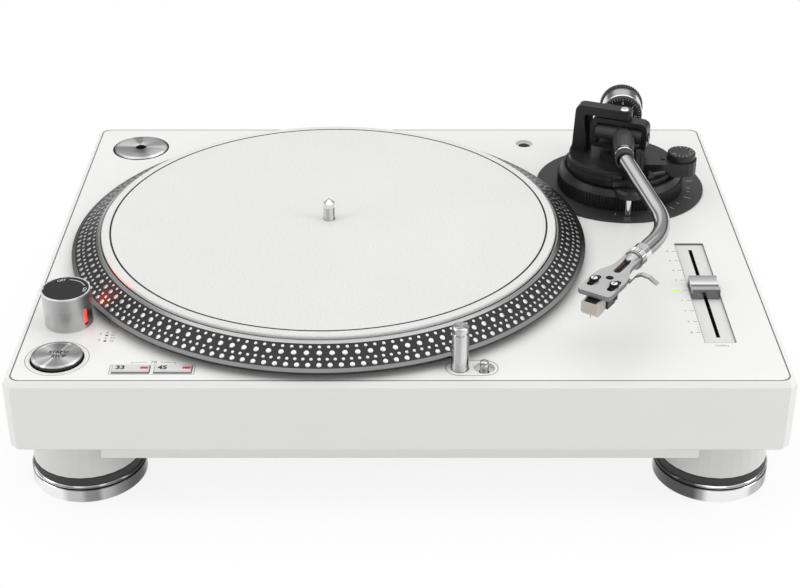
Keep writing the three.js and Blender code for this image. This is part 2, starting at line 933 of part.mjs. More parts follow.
function spindle() {
  const tip = mat_top + spindle_rise;
  const hub_top = platter_under;
  return revolve([
    [0, -shaft_depth], [shaft_radius, -shaft_depth], [shaft_radius, hub_top - hub_thickness],
    [hub_radius, hub_top - hub_thickness], [hub_radius, hub_top], [spindle_radius, hub_top],
    [spindle_radius, tip - spindle_cone], [spindle_tip_radius, tip], [0, tip],
  ]);
}

function platterBearing() {
  const bore = shaft_radius + running_gap;
  const outer = bore + bearing_wall;
  const bottom = -shaft_depth - running_gap;
  const floor = bottom - bearing_wall / 2;
  return revolve([
    [0, floor], [outer, floor], [outer, -stator_depth - bearing_flange],
    [bearing_flange_radius, -stator_depth - bearing_flange], [bearing_flange_radius, -stator_depth],
    [outer, -stator_depth], [outer, bearing_top], [bore, bearing_top], [bore, bottom], [0, bottom],
  ]);
}

function motorStator() {
  const bore = shaft_radius + bearing_wall + 2 * running_gap;
  const flange_top = panel_bottom;
  const body = revolve([
    [bore, -stator_depth], [stator_radius, -stator_depth], [stator_radius, flange_top - stator_flange],
    [stator_flange_radius, flange_top - stator_flange], [stator_flange_radius, flange_top],
    [stator_radius, flange_top], [stator_radius, stator_top], [bore, stator_top], [bore, -stator_depth],
  ]);
  const coils = ring(coil_inner, coil_outer, stator_top - overrun, coil_top);
  const slots = [];
  for (let i = 0; i < coil_count; i++) {
    const slot = slab(coil_inner - overrun, coil_outer + overrun, -coil_slot / 2, coil_slot / 2, stator_top,
      coil_top + overrun);
    slots.push(turned(slot, (360 * i) / coil_count));
  }
  return join(body, cut(coils, ...slots));
}

const rotor_top = platter_under;
const drive_group = groupAt(platter_x, platter_y, 0,
  mesh("platter", "strobe_black", platter()),
  mesh("slipmat", "felt", slipmat()),
  mesh("spindle", "chrome", spindle()),
  mesh("rotor_magnet", "magnet", ring(rotor_inner, rotor_outer, rotor_bottom, rotor_top)),
  mesh("platter_bearing", "brass", platterBearing()),
  mesh("motor_stator", "copper", motorStator()),
);

// Front left controls
function strobeTower() {
  const body = join(drum(tower_foot_radius, 0, tower_foot), drum(tower_radius, 0, tower_height));
  const window = slab(
    tower_radius - window_depth, tower_radius + overrun, -window_width / 2, window_width / 2,
    window_bottom, tower_height + overrun,
  );
  return cut(body, turned(window, window_degrees));
}

function powerCap() {
  const body = revolve([
    [0, 0], [cap_radius, 0], [cap_radius, cap_height - cap_bevel], [cap_radius - cap_bevel, cap_height],
    [cap_dish_radius, cap_height], [cap_dish_radius, cap_height - cap_dish], [0, cap_height - cap_dish],
  ]);
  const notch = slab(
    -cap_radius - overrun, -cap_radius + cap_notch_depth, -cap_notch_width / 2, cap_notch_width / 2,
    -overrun, cap_height + overrun,
  );
  return cut(body, notch);
}

function startButton() {
  return revolve([
    [0, -start_depth], [start_radius, -start_depth], [start_radius, start_rise - start_bevel_rise],
    [start_radius - start_bevel, start_rise], [start_dish_radius, start_rise],
    [start_dish_radius, start_rise - start_dish], [0, start_rise - start_dish],
  ]);
}

function speedButton() {
  const half_x = button_width / 2;
  const half_y = button_length / 2;
  const outline = outlineOf([[-half_x, -half_y], [half_x, -half_y], [half_x, half_y], [-half_x, half_y]]);
  return bevelled(outline, -button_depth, button_rise, button_bevel);
}

function targetLamp() {
  const neck_low = target_rise - target_head - target_neck;
  return revolve([
    [0, -target_depth], [target_radius, -target_depth], [target_radius, neck_low],
    [target_neck_radius, neck_low], [target_neck_radius, target_rise - target_head],
    [target_radius, target_rise - target_head], [target_radius, target_rise - button_bevel],
    [target_radius - button_bevel, target_rise], [0, target_rise],
  ], small_sides);
}

function releaseButton() {
  return revolve([
    [0, -release_depth], [release_radius, -release_depth], [release_radius, release_rise - release_head],
    [release_radius - release_head, release_rise], [0, release_rise],
  ], small_sides);
}

const controls_group = groupAt(0, 0, 0,
  groupAt(tower_x, tower_y, 0, mesh("strobe_tower", "satin_metal", strobeTower())),
  groupAt(tower_x, tower_y, tower_height + running_gap, mesh("power_cap", "satin_metal", powerCap())),
  groupAt(start_x, start_y, 0, mesh("start_button", "satin_metal", startButton())),
  groupAt(button_x, button_y, 0, mesh("speed_button_33", "satin_metal", speedButton())),
  groupAt(button_x + button_pitch, button_y, 0, mesh("speed_button_45", "satin_metal", speedButton())),
  groupAt(target_x, target_y, 0, mesh("target_lamp", "lamp_clear", targetLamp())),
  groupAt(release_x, release_y, 0, mesh("lamp_release", "satin_metal", releaseButton())),
);

// Pitch fader
function faderKnob() {
  const half = fader_knob_length / 2;
  const low = -fader_recess_depth + button_gap;
  const crest = fader_knob_height;
  const side = new THREE.Shape();
  side.moveTo(-half, low);
  side.lineTo(half, low);
  side.lineTo(half, crest - fader_knob_end);
  side.lineTo(half - fader_knob_end, crest);
  side.quadraticCurveTo(0, crest - 2 * fader_saddle_depth, -half + fader_knob_end, crest);
  side.lineTo(-half, crest - fader_knob_end);
  const cap = endways(prism(side, -fader_knob_width / 2, fader_knob_width / 2));
  const stem = slab(
    -fader_stem_width / 2, fader_stem_width / 2, -fader_stem_length / 2, fader_stem_length / 2,
    -fader_stem_depth, low + overrun,
  );
  return join(cap, stem);
}

function faderUnit() {
  const reach = fader_slot_reach + fader_box_margin;
  const half = fader_box_width / 2;
  const bottom = panel_bottom - fader_box_depth;
  const box = slab(-half, half, -reach, reach, bottom, panel_bottom);
  const slot_half = fader_slot_width / 2;
  const hollow = half - fader_box_wall;
  return cut(
    box,
    slab(-slot_half, slot_half, -fader_slot_reach, fader_slot_reach, -fader_box_depth, 0),
    slab(-hollow, hollow, -fader_slot_reach, fader_slot_reach, bottom + fader_box_wall,
      -fader_stem_depth + overrun),
  );
}

const fader_group = groupAt(fader_x, fader_zero_y, 0,
  mesh("fader_knob", "polished_aluminium", faderKnob()),
  mesh("fader_unit", "black_plastic", faderUnit()),
);

// Stored pieces
function adaptor() {
  return revolve([
    [adaptor_bore, -adaptor_depth], [adaptor_radius, -adaptor_depth], [adaptor_radius, 0],
    [adaptor_radius - adaptor_bevel, adaptor_rise], [adaptor_bore, adaptor_rise],
    [adaptor_bore, -adaptor_depth],
  ]);
}

function headshellHolder() {
  return revolve([
    [0, -holder_depth], [holder_radius, -holder_depth], [holder_radius, panel_bottom - holder_flange],
    [holder_flange_radius, panel_bottom - holder_flange], [holder_flange_radius, panel_bottom],
    [holder_radius, panel_bottom], [holder_radius, -holder_drop], [holder_bore, -holder_drop],
    [holder_bore, -holder_depth + holder_floor], [0, -holder_depth + holder_floor],
  ], small_sides);
}

const stored_group = groupAt(0, 0, 0,
  groupAt(adaptor_x, adaptor_y, 0, mesh("adaptor_45", "satin_metal", adaptor())),
  groupAt(holder_x, holder_y, 0, mesh("headshell_holder", "satin_metal", headshellHolder())),
);

// Tonearm base, around the pivot axis
function armPlate() {
  return ring(ring_bore, plate_radius, 0, plate_thickness, fine_sides);
}

function heightRing() {
  const knurl_top = ring_bottom + ring_knurl_height;
  const knurl = prism(ribbedOutline(ring_radius, ring_ribs, rib_depth), ring_bottom, knurl_top);
  const shoulder = ring_radius - rib_depth - running_gap;
  const rim = revolve([
    [0, knurl_top - overrun], [shoulder, knurl_top - overrun], [shoulder, knurl_top],
    [ring_rim_radius, ring_top],
    [ring_rim_radius - ring_rim_width, ring_top],
    [ring_rim_radius - 2 * ring_rim_width, ring_top - ring_dish],
    [0, ring_top - ring_dish],
  ], fine_sides);
  return cut(join(knurl, rim), drum(ring_bore, ring_bottom - overrun, ring_top + overrun));
}

// The base carries the bowl, the lifter boss and the saddle that the arm rests in.
function armBase() {
  const neck = drum(ring_bore - button_gap, -neck_depth, base_disc_bottom + overrun);
  const disc = drum(base_disc_radius, base_disc_bottom, base_disc_top);
  const bowl = revolve([
    [0, base_disc_top - overrun], [base_wall_root_radius, base_disc_top - overrun],
    [base_wall_root_radius, base_wall_bottom], [base_wall_radius, base_wall_bottom],
    [base_wall_radius, base_wall_top], [base_wall_radius - base_wall_width, base_wall_top],
    [base_floor_radius, base_floor], [0, base_floor],
  ], fine_sides);
  const kept = slab(
    -base_wall_left, base_wall_right, -base_wall_radius - overrun, base_wall_back,
    base_disc_bottom, base_wall_top + overrun,
  );
  const kept_floor = slab(
    -base_wall_left, base_wall_right, base_wall_back - overrun, base_floor_back,
    base_disc_bottom, base_wall_top + overrun,
  ).intersect(drum(base_wall_root_radius, base_disc_bottom, base_wall_top + overrun, fine_sides));
  const middle = drum(collar_radius, base_disc_top - overrun, collar_top);
  const boss = revolve([
    [0, lift_boss_bottom], [lift_boss_radius, lift_boss_bottom],
    [lift_boss_radius, lift_boss_top - lift_boss_bevel],
    [lift_boss_radius - lift_boss_bevel, lift_boss_top], [0, lift_boss_top],
  ]);
  const web = slab(
    -lift_boss_radius, lift_boss_radius, lift_boss_y, -base_disc_radius + lift_boss_radius,
    lift_boss_bottom, base_disc_top,
  );
  const lifter_bore = drum(
    lifter_radius + running_gap, lift_boss_bottom - overrun, lift_boss_top + overrun, small_sides,
  );
  const bracket_pocket = slab(
    -bracket_reach - bracket_lean - running_gap,
    bracket_width + bracket_web_reach - bracket_reach + running_gap,
    -bracket_depth / 2 - running_gap, bracket_post_back + running_gap, base_floor, base_wall_top + overrun,
  );
  const rest_pocket = slab(
    -running_gap, rest_wall + running_gap, -rest_depth / 2 - running_gap, rest_depth / 2 + running_gap,
    base_disc_top, base_wall_top + overrun,
  );
  const block_recess = slab(
    -lifter_block_left - running_gap, base_wall_right + overrun, -lifter_block_front - overrun,
    -lifter_block_back + running_gap, base_wall_bottom - overrun, base_wall_top + overrun,
  );
  const knob_recess = drum(
    skate_knob_radius + button_gap, skate_floor + skate_floor_thickness, base_wall_top,
  );
  return cut(
    join(neck, disc, bowl.intersect(join(kept, kept_floor)), middle, web, moved(boss, 0, lift_boss_y, 0)),
    moved(lifter_bore, 0, lift_boss_y, 0), turned(bracket_pocket, yoke_degrees),
    block_recess, moved(rest_pocket, rest_x, rest_y, 0), moved(knob_recess, skate_knob_x, skate_knob_y, 0),
  );
}

// The rest is an upright with a saddle on its left, open to the side the arm swings to.
function armRest() {
  const post = slab(0, rest_wall, -rest_depth / 2, rest_depth / 2, base_disc_top, rest_top);
  const saddle = slab(
    -rest_saddle_reach, overrun, -rest_depth / 2, rest_depth / 2,
    rest_saddle - rest_saddle_thickness, rest_saddle,
  );
  const slant = slab(
    0, rest_wall, rest_depth / 2 - rest_slant, rest_depth, rest_top - rest_slant, rest_top + overrun,
  );
  return moved(cut(join(post, saddle), slant), rest_x, rest_y, 0);
}

function armClamp() {
  const left = rest_x + rest_wall + running_gap;
  return slab(
    left, left + clamp_width, rest_y - rest_depth / 2, rest_y + rest_depth / 2, clamp_bottom, clamp_top,
  );
}

// Pivot bracket and yoke, turned with the horizontal bearing
function bracket() {
  const left = -bracket_reach;
  const inner = left + bracket_width;
  const under = bracket_top - bracket_arm;
  const half = bracket_depth / 2;
  const side = new THREE.Shape();
  side.moveTo(left - bracket_lean, base_floor);
  side.lineTo(inner + bracket_lean, base_floor);
  side.lineTo(inner, under - bracket_fillet);
  side.quadraticCurveTo(inner, under, inner + bracket_fillet, under);
  side.lineTo(bracket_overhang, under);
  side.lineTo(bracket_overhang, bracket_top);
  side.lineTo(left + bracket_corner, bracket_top);
  side.quadraticCurveTo(left, bracket_top, left, bracket_top - bracket_corner);
  const frame = upright(prism(side, -half, half));
  const end = bracket_overhang - bracket_end;
  const plan = new THREE.Shape();
  plan.moveTo(left - bracket_lean, -half);
  plan.lineTo(end, -half);
  plan.quadraticCurveTo(bracket_overhang, -half, bracket_overhang, 0);
  plan.quadraticCurveTo(bracket_overhang, half, end, half);
  plan.lineTo(left - bracket_lean, half);
  const web = slab(
    left, inner + bracket_web_reach, half - overrun, bracket_post_back, base_floor, bracket_post_top,
  );
  const screw_hole = drum(pivot_screw_pin + running_gap, under - overrun, bracket_top + overrun, tiny_sides);
  return cut(join(frame.intersect(prism(plan, base_floor, bracket_top)), web), screw_hole);
}

function pivotScrew() {
  const low = bearing_height + yoke_half_height + running_gap;
  return revolve([
    [0, low], [pivot_screw_pin, low], [pivot_screw_pin, bracket_top], [pivot_screw_radius, bracket_top],
    [pivot_screw_radius - pivot_screw_head, bracket_top + pivot_screw_head],
    [0, bracket_top + pivot_screw_head],
  ], small_sides);
}

function yoke() {
  const half_frame = (yoke_left + yoke_right) / 2;
  const middle = (yoke_right - yoke_left) / 2;
  const outer = roundedOutline(half_frame, yoke_half_height, yoke_corner);
  const inner = roundedOutline(half_frame - yoke_bar, yoke_half_height - yoke_bar, yoke_cut_corner);
  const half = yoke_depth / 2;
  const frame = upright(cut(prism(outer, -half, half), prism(inner, -half - overrun, half + overrun)));
  const foot_top = bearing_height - yoke_half_height + yoke_bar / 2;
  const yoke_foot = drum(yoke_foot_radius, collar_top + running_gap, foot_top, small_sides);
  const screw = (reach) => sideways(
    drum(yoke_screw_radius, reach - yoke_bar / 2, reach + yoke_screw_rise, tiny_sides),
  );
  return join(
    moved(frame, middle, 0, bearing_height), yoke_foot, moved(screw(yoke_right), 0, 0, bearing_height),
    turned(moved(screw(yoke_left), 0, 0, bearing_height), half_turn),
  );
}

// Tonearm tube and what it carries. Forward is -Y in the arm's own frame.
function armHousing() {
  const bore = tube_radius + running_gap;
  const body = revolve([
    [0, -housing_back], [housing_back_radius, -housing_back], [housing_waist, -housing_waist_half],
    [housing_waist, housing_waist_half], [housing_radius, housing_belly_start],
    [housing_radius, housing_belly_end], [housing_front_radius, housing_front], [bore, housing_front],
    [bore, housing_front - tube_socket], [0, housing_front - tube_socket],
  ], small_sides);
  const tail = drum(tail_radius, -tail_length, -housing_back + overrun, small_sides);
  const inset = yoke_bar + axle_gap;
  const axle = sideways(drum(axle_radius, inset - yoke_left, yoke_right - inset, small_sides));
  return join(forward(join(body, tail)), turned(axle, yoke_degrees - arm_degrees));
}

function tubePath() {
  const path = new THREE.CurvePath();
  const start = housing_front - tube_socket + running_gap;
  const place = new THREE.Vector3(0, -start, 0);
  let heading = 0;
  const ahead = (distance) => new THREE.Vector3(
    place.x + distance * Math.sin(heading), place.y - distance * Math.cos(heading), 0,
  );
  const straight = (distance) => {
    const end = ahead(distance);
    path.add(new THREE.LineCurve3(place.clone(), end));
    place.copy(end);
  };
  const bend = (reach, degrees) => {
    const from = place.clone();
    const corner = ahead(reach);
    place.copy(corner);
    heading += radians(degrees);
    place.copy(ahead(reach));
    path.add(new THREE.QuadraticBezierCurve3(from, corner, place.clone()));
  };
  straight(first_reach - first_bend - start);
  bend(first_bend, first_turn);
  straight(second_reach - first_bend - second_bend);
  bend(second_bend, second_turn);
  straight(third_reach - second_bend);
  return { path, end: place, heading };
}

const tube_route = tubePath();
const head_degrees = THREE.MathUtils.radToDeg(tube_route.heading);

function armTube() {
  const section = new THREE.Shape();
  section.absarc(0, 0, tube_radius, 0, 2 * Math.PI);
  const hollow = new THREE.Path();
  hollow.absarc(0, 0, tube_bore, 0, 2 * Math.PI, true);
  section.holes.push(hollow);
  const sweep = {
    steps: tube_rings, curveSegments: tube_sides, bevelEnabled: false, extrudePath: tube_route.path,
  };
  const tube = solidOf(new THREE.ExtrudeGeometry(section, sweep));
  const seal = forward(
    ring(tube_bore + tube_wall / 2, seal_radius, seal_start, seal_start + seal_length, small_sides),
  );
  const nose_tube = ring(nose_bore, nose_radius, -overrun, nose_length, small_sides);
  const nose = turned(forward(nose_tube), head_degrees);
  return join(tube, seal, moved(nose, tube_route.end.x, tube_route.end.y, 0));
}

function lockingCollar() {
  const bore = nose_radius + running_gap;
  const body = revolve([
    [bore, 0], [lock_back_radius, 0], [lock_back_radius, lock_knurl], [lock_back_radius, lock_length],
    [bore, lock_length], [bore, 0],
  ], small_sides);
  const knurl = cut(
    prism(ribbedOutline(lock_radius, lock_ribs, lock_rib_depth), lock_length - lock_knurl, lock_length),
    drum(bore, -overrun, lock_length + overrun, small_sides),
  );
  return forward(join(body, knurl));
}

// Headshell, drawn in plan with its length along -Y and the washer at 0
function shellOutline() {
  const waist = -shell_length * shell_waist_share;
  const shoulder = -shell_length * shell_shoulder_share;
  const middle = (waist + shoulder) / 2;
  const nose = -shell_length;
  const narrow = shell_rear_half_width;
  const wide = shell_half_width;
  const side = new THREE.Shape();
  side.moveTo(narrow, -washer_thickness);
  side.lineTo(-narrow, -washer_thickness);
  side.lineTo(-narrow, waist);
  side.bezierCurveTo(-narrow, middle, -wide, middle, -wide, shoulder);
  side.lineTo(-wide, nose + shell_nose_corner);
  side.lineTo(-wide + shell_nose_corner, nose);
  side.lineTo(wide - shell_nose_corner, nose);
  side.lineTo(wide, nose + shell_nose_corner);
  side.lineTo(wide, shoulder);
  side.bezierCurveTo(wide, middle, narrow, middle, narrow, waist);
  return side;
}

function slotTool(x, middle, length, width) {
  const corner = width / 2 - merge_distance;
  const outline = roundedOutline(width / 2, length / 2, corner);
  return moved(prism(outline, -shell_neck_radius - overrun, shell_rise + overrun), x, -middle, 0);
}

function headshell() {
  const plate = prism(shellOutline(), shell_rise - shell_thickness, shell_rise);
  const neck = forward(revolve([
    [0, -shell_plug_length], [shell_plug_radius, -shell_plug_length], [shell_plug_radius, 0],
    [shell_neck_radius, 0], [shell_neck_radius, washer_thickness], [shell_rear_half_width, washer_thickness],
    [shell_neck_tip_radius, shell_neck_length], [0, shell_neck_length],
  ], small_sides));
  return cut(
    join(plate, neck),
    slotTool(-slot_half_pitch, slot_middle, slot_length, slot_width),
    slotTool(slot_half_pitch, slot_middle, slot_length, slot_width),
    slotTool(0, window_middle, shell_window_length, shell_window_width).intersect(
      slab(-shell_length, shell_length, -shell_length, 0, shell_rise - shell_window_depth, shell_length),
    ),
    moved(drum(shell_hole_radius, -shell_length, shell_length, tiny_sides), 0, -shell_hole_middle, 0),
  );
}

function fingerLift() {
  const high = shell_rise - shell_thickness;
  const low = high - lift_thickness;
  const tip = lift_edge + lift_reach;
  const side = new THREE.Shape();
  side.moveTo(lift_edge - lift_tongue, low);
  side.lineTo(lift_edge, low);
  side.quadraticCurveTo(lift_edge + lift_bend, low + lift_crest, tip, low + lift_tip_rise);
  side.lineTo(tip + lift_thickness, low + lift_tip_rise);
  side.quadraticCurveTo(lift_edge + lift_bend, high + lift_crest + lift_thickness, lift_edge, high);
  side.lineTo(lift_edge - lift_tongue, high);
  return moved(upright(prism(side, 0, lift_width)), 0, -lift_start, 0);
}

// Cartridge and stylus under the headshell
const shell_under = shell_rise - shell_thickness;
const cartridge_front = cartridge_start + cartridge_length;
const cartridge_bottom = shell_under - cartridge_body_depth;

function cartridge() {
  const flange_low = shell_under - cartridge_top_thickness;
  const flange = slab(
    -cartridge_half_width, cartridge_half_width, -cartridge_front, -cartridge_start, flange_low, shell_under,
  );
  const side = outlineOf([
    [-cartridge_front, cartridge_bottom], [-cartridge_start - cartridge_back_slope, cartridge_bottom],
    [-cartridge_start + cartridge_back_reach, flange_low],
    [-cartridge_start + cartridge_back_reach, shell_under - overrun],
    [-cartridge_front, shell_under - overrun],
  ]);
  const body = endways(prism(side, -cartridge_body_half_width, cartridge_body_half_width));
  const pins = [];
  for (const x of [-contact_pin_pitch / 2, contact_pin_pitch / 2]) {
    for (const drop of [0, contact_pin_drop]) {
      const pin = forward(drum(contact_pin_radius, -contact_pin_length, cartridge_back_slope, tiny_sides));
      pins.push(moved(pin, x, -cartridge_start, flange_low + contact_pin_radius - drop));
    }
  }
  const nut_low = flange_low - mount_nut_height;
  const head_low = shell_rise + running_gap;
  const screw = revolve([
    [0, nut_low], [mount_head_radius, nut_low], [mount_head_radius, flange_low],
    [mount_screw_radius, flange_low],
    [mount_screw_radius, head_low], [mount_head_radius, head_low],
    [mount_head_radius, head_low + mount_head_height], [0, head_low + mount_head_height],
  ], tiny_sides);
  const socket_half = guard_half_width - guard_plug_inset;
  const socket = slab(
    -socket_half, socket_half, -cartridge_front - overrun, -cartridge_front + guard_socket,
    cartridge_bottom + guard_plug_inset, flange_low,
  );
  return cut(
    join(flange, body, ...pins, moved(screw, -slot_half_pitch, -slot_middle, 0),
      moved(screw, slot_half_pitch, -slot_middle, 0)),
    socket,
  );
}

function stylusUnit() {
  const top = shell_under - guard_top_drop;
  const bottom = top - guard_depth;
  const front = guard_start + guard_length;
  const side = outlineOf([
    [-front, top], [-front, bottom + guard_chamfer], [-front + guard_chamfer, bottom],
    [-guard_start - guard_chamfer, bottom], [-guard_start, bottom + guard_chamfer / 2], [-guard_start, top],
  ]);
  const guard = endways(prism(side, -guard_half_width, guard_half_width));
  const plug_half = guard_half_width - guard_plug_inset - running_gap;
  const plug = slab(
    -plug_half, plug_half, -guard_start - overrun, -cartridge_front + guard_socket - running_gap,
    cartridge_bottom + guard_plug_inset + running_gap, shell_under - cartridge_top_thickness - running_gap,
  );
  const tip_low = shell_rise - stylus_drop;
  const tip = revolve(
    [[0, tip_low], [cantilever_radius, bottom + overrun], [0, bottom + overrun]], tiny_sides,
  );
  return join(guard, plug, moved(tip, 0, -stylus_reach, 0));
}

// Counterweight and its dial behind the pivot
function counterweight() {
  const bore = tail_radius + running_gap;
  const knurl_start = weight_start + weight_ring_length;
  const end = weight_start + weight_length;
  const front = revolve([
    [bore, weight_start], [weight_ring_radius, weight_start], [weight_ring_radius, knurl_start],
    [weight_radius - weight_bevel, knurl_start], [weight_radius - weight_bevel, end], [bore, end],
    [bore, weight_start],
  ], small_sides);
  const ribs = ribbedOutline(weight_radius, weight_ribs, weight_rib_depth);
  const rim = prism(ribs, knurl_start, end - weight_bevel);
  return toRear(join(front, cut(rim, drum(bore, weight_start, end, small_sides))));
}

function weightDial() {
  const bore = tail_radius + running_gap;
  const end = dial_start + dial_length;
  return toRear(revolve([
    [bore, dial_start], [dial_radius - dial_bevel, dial_start], [dial_radius, dial_start + dial_bevel],
    [dial_radius, end], [bore, end], [bore, dial_start],
  ]));
}

// Anti-skate unit on the right of the base, standing clear of the height ring
function antiskateHousing() {
  const outline = new THREE.Shape();
  outline.moveTo(skate_left, skate_front);
  outline.lineTo(skate_knob_x, skate_front);
  outline.absarc(skate_knob_x, skate_knob_y, skate_knob_y - skate_front, -Math.PI / 2, Math.PI / 2);
  outline.lineTo(skate_back_right, skate_back_low);
  outline.lineTo(skate_back_left, skate_back_high);
  outline.lineTo(skate_left, skate_back_high);
  const body = cut(
    prism(outline, skate_floor, skate_top),
    drum(base_disc_radius + running_gap, skate_floor - overrun, base_disc_top),
    drum(collar_radius + overrun, skate_floor - overrun, skate_top + overrun),
    moved(drum(skate_knob_radius + button_gap, skate_floor + skate_floor_thickness, skate_top + overrun),
      skate_knob_x, skate_knob_y, 0),
  );
  const post = drum(skate_post_radius, skate_floor, skate_post_top, small_sides);
  const screw = drum(skate_screw_radius, skate_top - overrun, skate_top + skate_screw_rise, tiny_sides);
  return join(
    body, moved(post, skate_knob_x, skate_knob_y, 0), moved(screw, skate_screw_x, skate_screw_y, 0),
  );
}

function antiskateKnob() {
  const low = skate_floor_thickness + running_gap;
  const bore = skate_post_radius + running_gap;
  const bore_top = skate_post_top - skate_floor + running_gap;
  const top = skate_knob_top - skate_floor;
  return revolve([
    [bore, low], [skate_knob_radius, low], [skate_knob_radius, top - skate_knob_bevel],
    [skate_knob_radius - skate_knob_bevel, top], [0, top], [0, bore_top], [bore, bore_top], [bore, low],
  ]);
}

function cueLever() {
  const eye = sideways(drum(lever_eye_radius, -lever_width / 2, lever_width / 2, small_sides));
  const arm = forward(drum(lever_width / 2, 0, lever_length, tiny_sides));
  const tip_end = lever_length + lever_tip_length;
  const tip = forward(drum(lever_tip_radius, lever_length - overrun, tip_end, tiny_sides));
  return join(eye, arm, tip);
}

// The lifter is an arc over the front of the bowl's wall, carried on the chrome pin.
function cueLifter() {
  const arc = new THREE.Shape();
  const start = radians(lifter_bar_from);
  const end = radians(lifter_bar_to);
  arc.absarc(0, 0, base_wall_radius, start, end);
  arc.absarc(0, 0, base_wall_radius - base_wall_width, end, start, true);
  const bar = prism(arc, lifter_bar_bottom, lifter_top);
  const block = slab(
    -lifter_block_left, -lifter_block_right, -lifter_block_front, -lifter_block_back,
    lifter_link_bottom, lifter_top,
  );
  const link = slab(
    -lifter_block_left, 0, lift_boss_y, -lifter_block_front + overrun,
    lifter_link_bottom, lifter_link_top,
  );
  const pin = drum(lifter_radius, lifter_low, lifter_link_top, small_sides);
  return join(bar, block, link, moved(pin, 0, lift_boss_y, 0));
}

// Everything on the arm stands in the groups below, each turned as the photo shows it.
const shell_start = running_gap + lock_length + running_gap;
const head_group = groupAt(tube_route.end.x, tube_route.end.y, 0,
  groupAt(0, -running_gap, 0, mesh("locking_collar", "satin_metal", lockingCollar())),
  groupAt(0, -shell_start, 0,
    mesh("headshell", "cast_aluminium", headshell()),
    mesh("finger_lift", "cast_aluminium", fingerLift()),
    mesh("cartridge", "black_plastic", cartridge()),
    mesh("stylus_unit", "beige_plastic", stylusUnit()),
  ),
);
head_group.rotation.z = tube_route.heading;

const moving_group = groupAt(0, 0, bearing_height,
  mesh("arm_housing", "grey_metal", armHousing()),
  mesh("arm_tube", "polished_aluminium", armTube()),
  mesh("counterweight", "weight_steel", counterweight()),
  mesh("weight_dial", "black_plastic", weightDial()),
  head_group,
);
moving_group.rotation.z = radians(arm_degrees);

const gimbal_group = groupAt(0, 0, 0,
  mesh("pivot_bracket", "grey_metal", bracket()),
  mesh("pivot_screw", "chrome", pivotScrew()),
  mesh("gimbal_yoke", "grey_metal", yoke()),
);
gimbal_group.rotation.z = radians(yoke_degrees);

const lever_group = groupAt(lever_x, lever_y, lever_height, mesh("cue_lever", "black_plastic", cueLever()));
lever_group.rotation.z = radians(lever_degrees);

const arm_group = groupAt(arm_x, arm_y, 0,
  mesh("arm_plate", "black_plastic", armPlate()),
  mesh("height_ring", "black_plastic", heightRing()),
  mesh("arm_base", "grey_metal", armBase()),
  mesh("arm_rest", "grey_plastic", armRest()),
  mesh("arm_clamp", "grey_plastic", armClamp()),
  mesh("antiskate_housing", "grey_plastic", antiskateHousing()),
  groupAt(skate_knob_x, skate_knob_y, skate_floor, mesh("antiskate_knob", "grey_plastic", antiskateKnob())),
  mesh("cue_lifter", "black_plastic", cueLifter()),
  lever_group,
  gimbal_group,
  moving_group,
);

// Connector panel in the rear bay. Each connector is drawn pointing up and turned to the rear.
const bay_front = half_depth - bay_depth;
const bay_middle = bay_top - bay_height / 2;

function jackPanel() {
  const half_x = bay_width / 2 - running_gap;
  const half_z = bay_height / 2 - running_gap;
  const plate = slab(-half_x, half_x, 0, jack_panel_thickness, -half_z, half_z);
  const hole = (radius, x) => moved(
    toRear(drum(radius + running_gap, -overrun, jack_panel_thickness + overrun, small_sides)), x, 0, 0,
  );
  const opening = (width, height, x) => slab(
    x - width / 2 - running_gap, x + width / 2 + running_gap, -overrun, jack_panel_thickness + overrun,
    -height / 2 - running_gap, height / 2 + running_gap,
  );
  return cut(
    plate, hole(rca_radius, rca_offset_x), hole(rca_radius, rca_offset_x - rca_pitch),
    hole(ground_stem_radius, ground_offset_x), opening(switch_slot_width, switch_height, switch_offset_x),
    opening(usb_width, usb_height, usb_offset_x),
  );
}

function phonoSocket() {
  return toRear(revolve([
    [0, -socket_tail], [rca_radius, -socket_tail], [rca_radius, jack_panel_thickness],
    [rca_flange_radius, jack_panel_thickness], [rca_flange_radius, jack_panel_thickness + rca_flange],
    [rca_radius, jack_panel_thickness + rca_flange], [rca_radius, rca_length], [rca_bore, rca_length],
    [rca_bore, rca_length - rca_bore_depth], [rca_pin_radius, rca_length - rca_bore_depth],
    [rca_pin_radius, rca_length - overrun], [0, rca_length - overrun],
  ], small_sides));
}

function groundTerminal() {
  const low = jack_panel_thickness + running_gap;
  const knob = prism(ribbedOutline(ground_radius, ground_ribs, ground_rib_depth), low, low + ground_length);
  return toRear(join(knob, drum(ground_stem_radius, -ground_stem_length, low + overrun, small_sides)));
}

function lineSwitch() {
  return slab(
    -switch_slot_width / 2, switch_width - switch_slot_width / 2, -switch_tail,
    jack_panel_thickness + switch_reach,
    -switch_height / 2, switch_height / 2,
  );
}

function usbSocket() {
  const outer = slab(
    -usb_width / 2, usb_width / 2, -usb_tail, jack_panel_thickness + usb_wall, -usb_height / 2,
    usb_height / 2,
  );
  const half_x = usb_width / 2 - usb_wall;
  const half_z = usb_height / 2 - usb_wall;
  const front = jack_panel_thickness + usb_wall;
  const hollow = slab(-half_x, half_x, front - usb_depth, front + overrun, -half_z, half_z);
  const tongue = slab(
    -usb_tongue_width / 2, usb_tongue_width / 2, front - usb_depth - overrun / 2, front - usb_wall,
    -usb_tongue_height / 2, usb_tongue_height / 2,
  );
  return join(cut(outer, hollow), tongue);
}

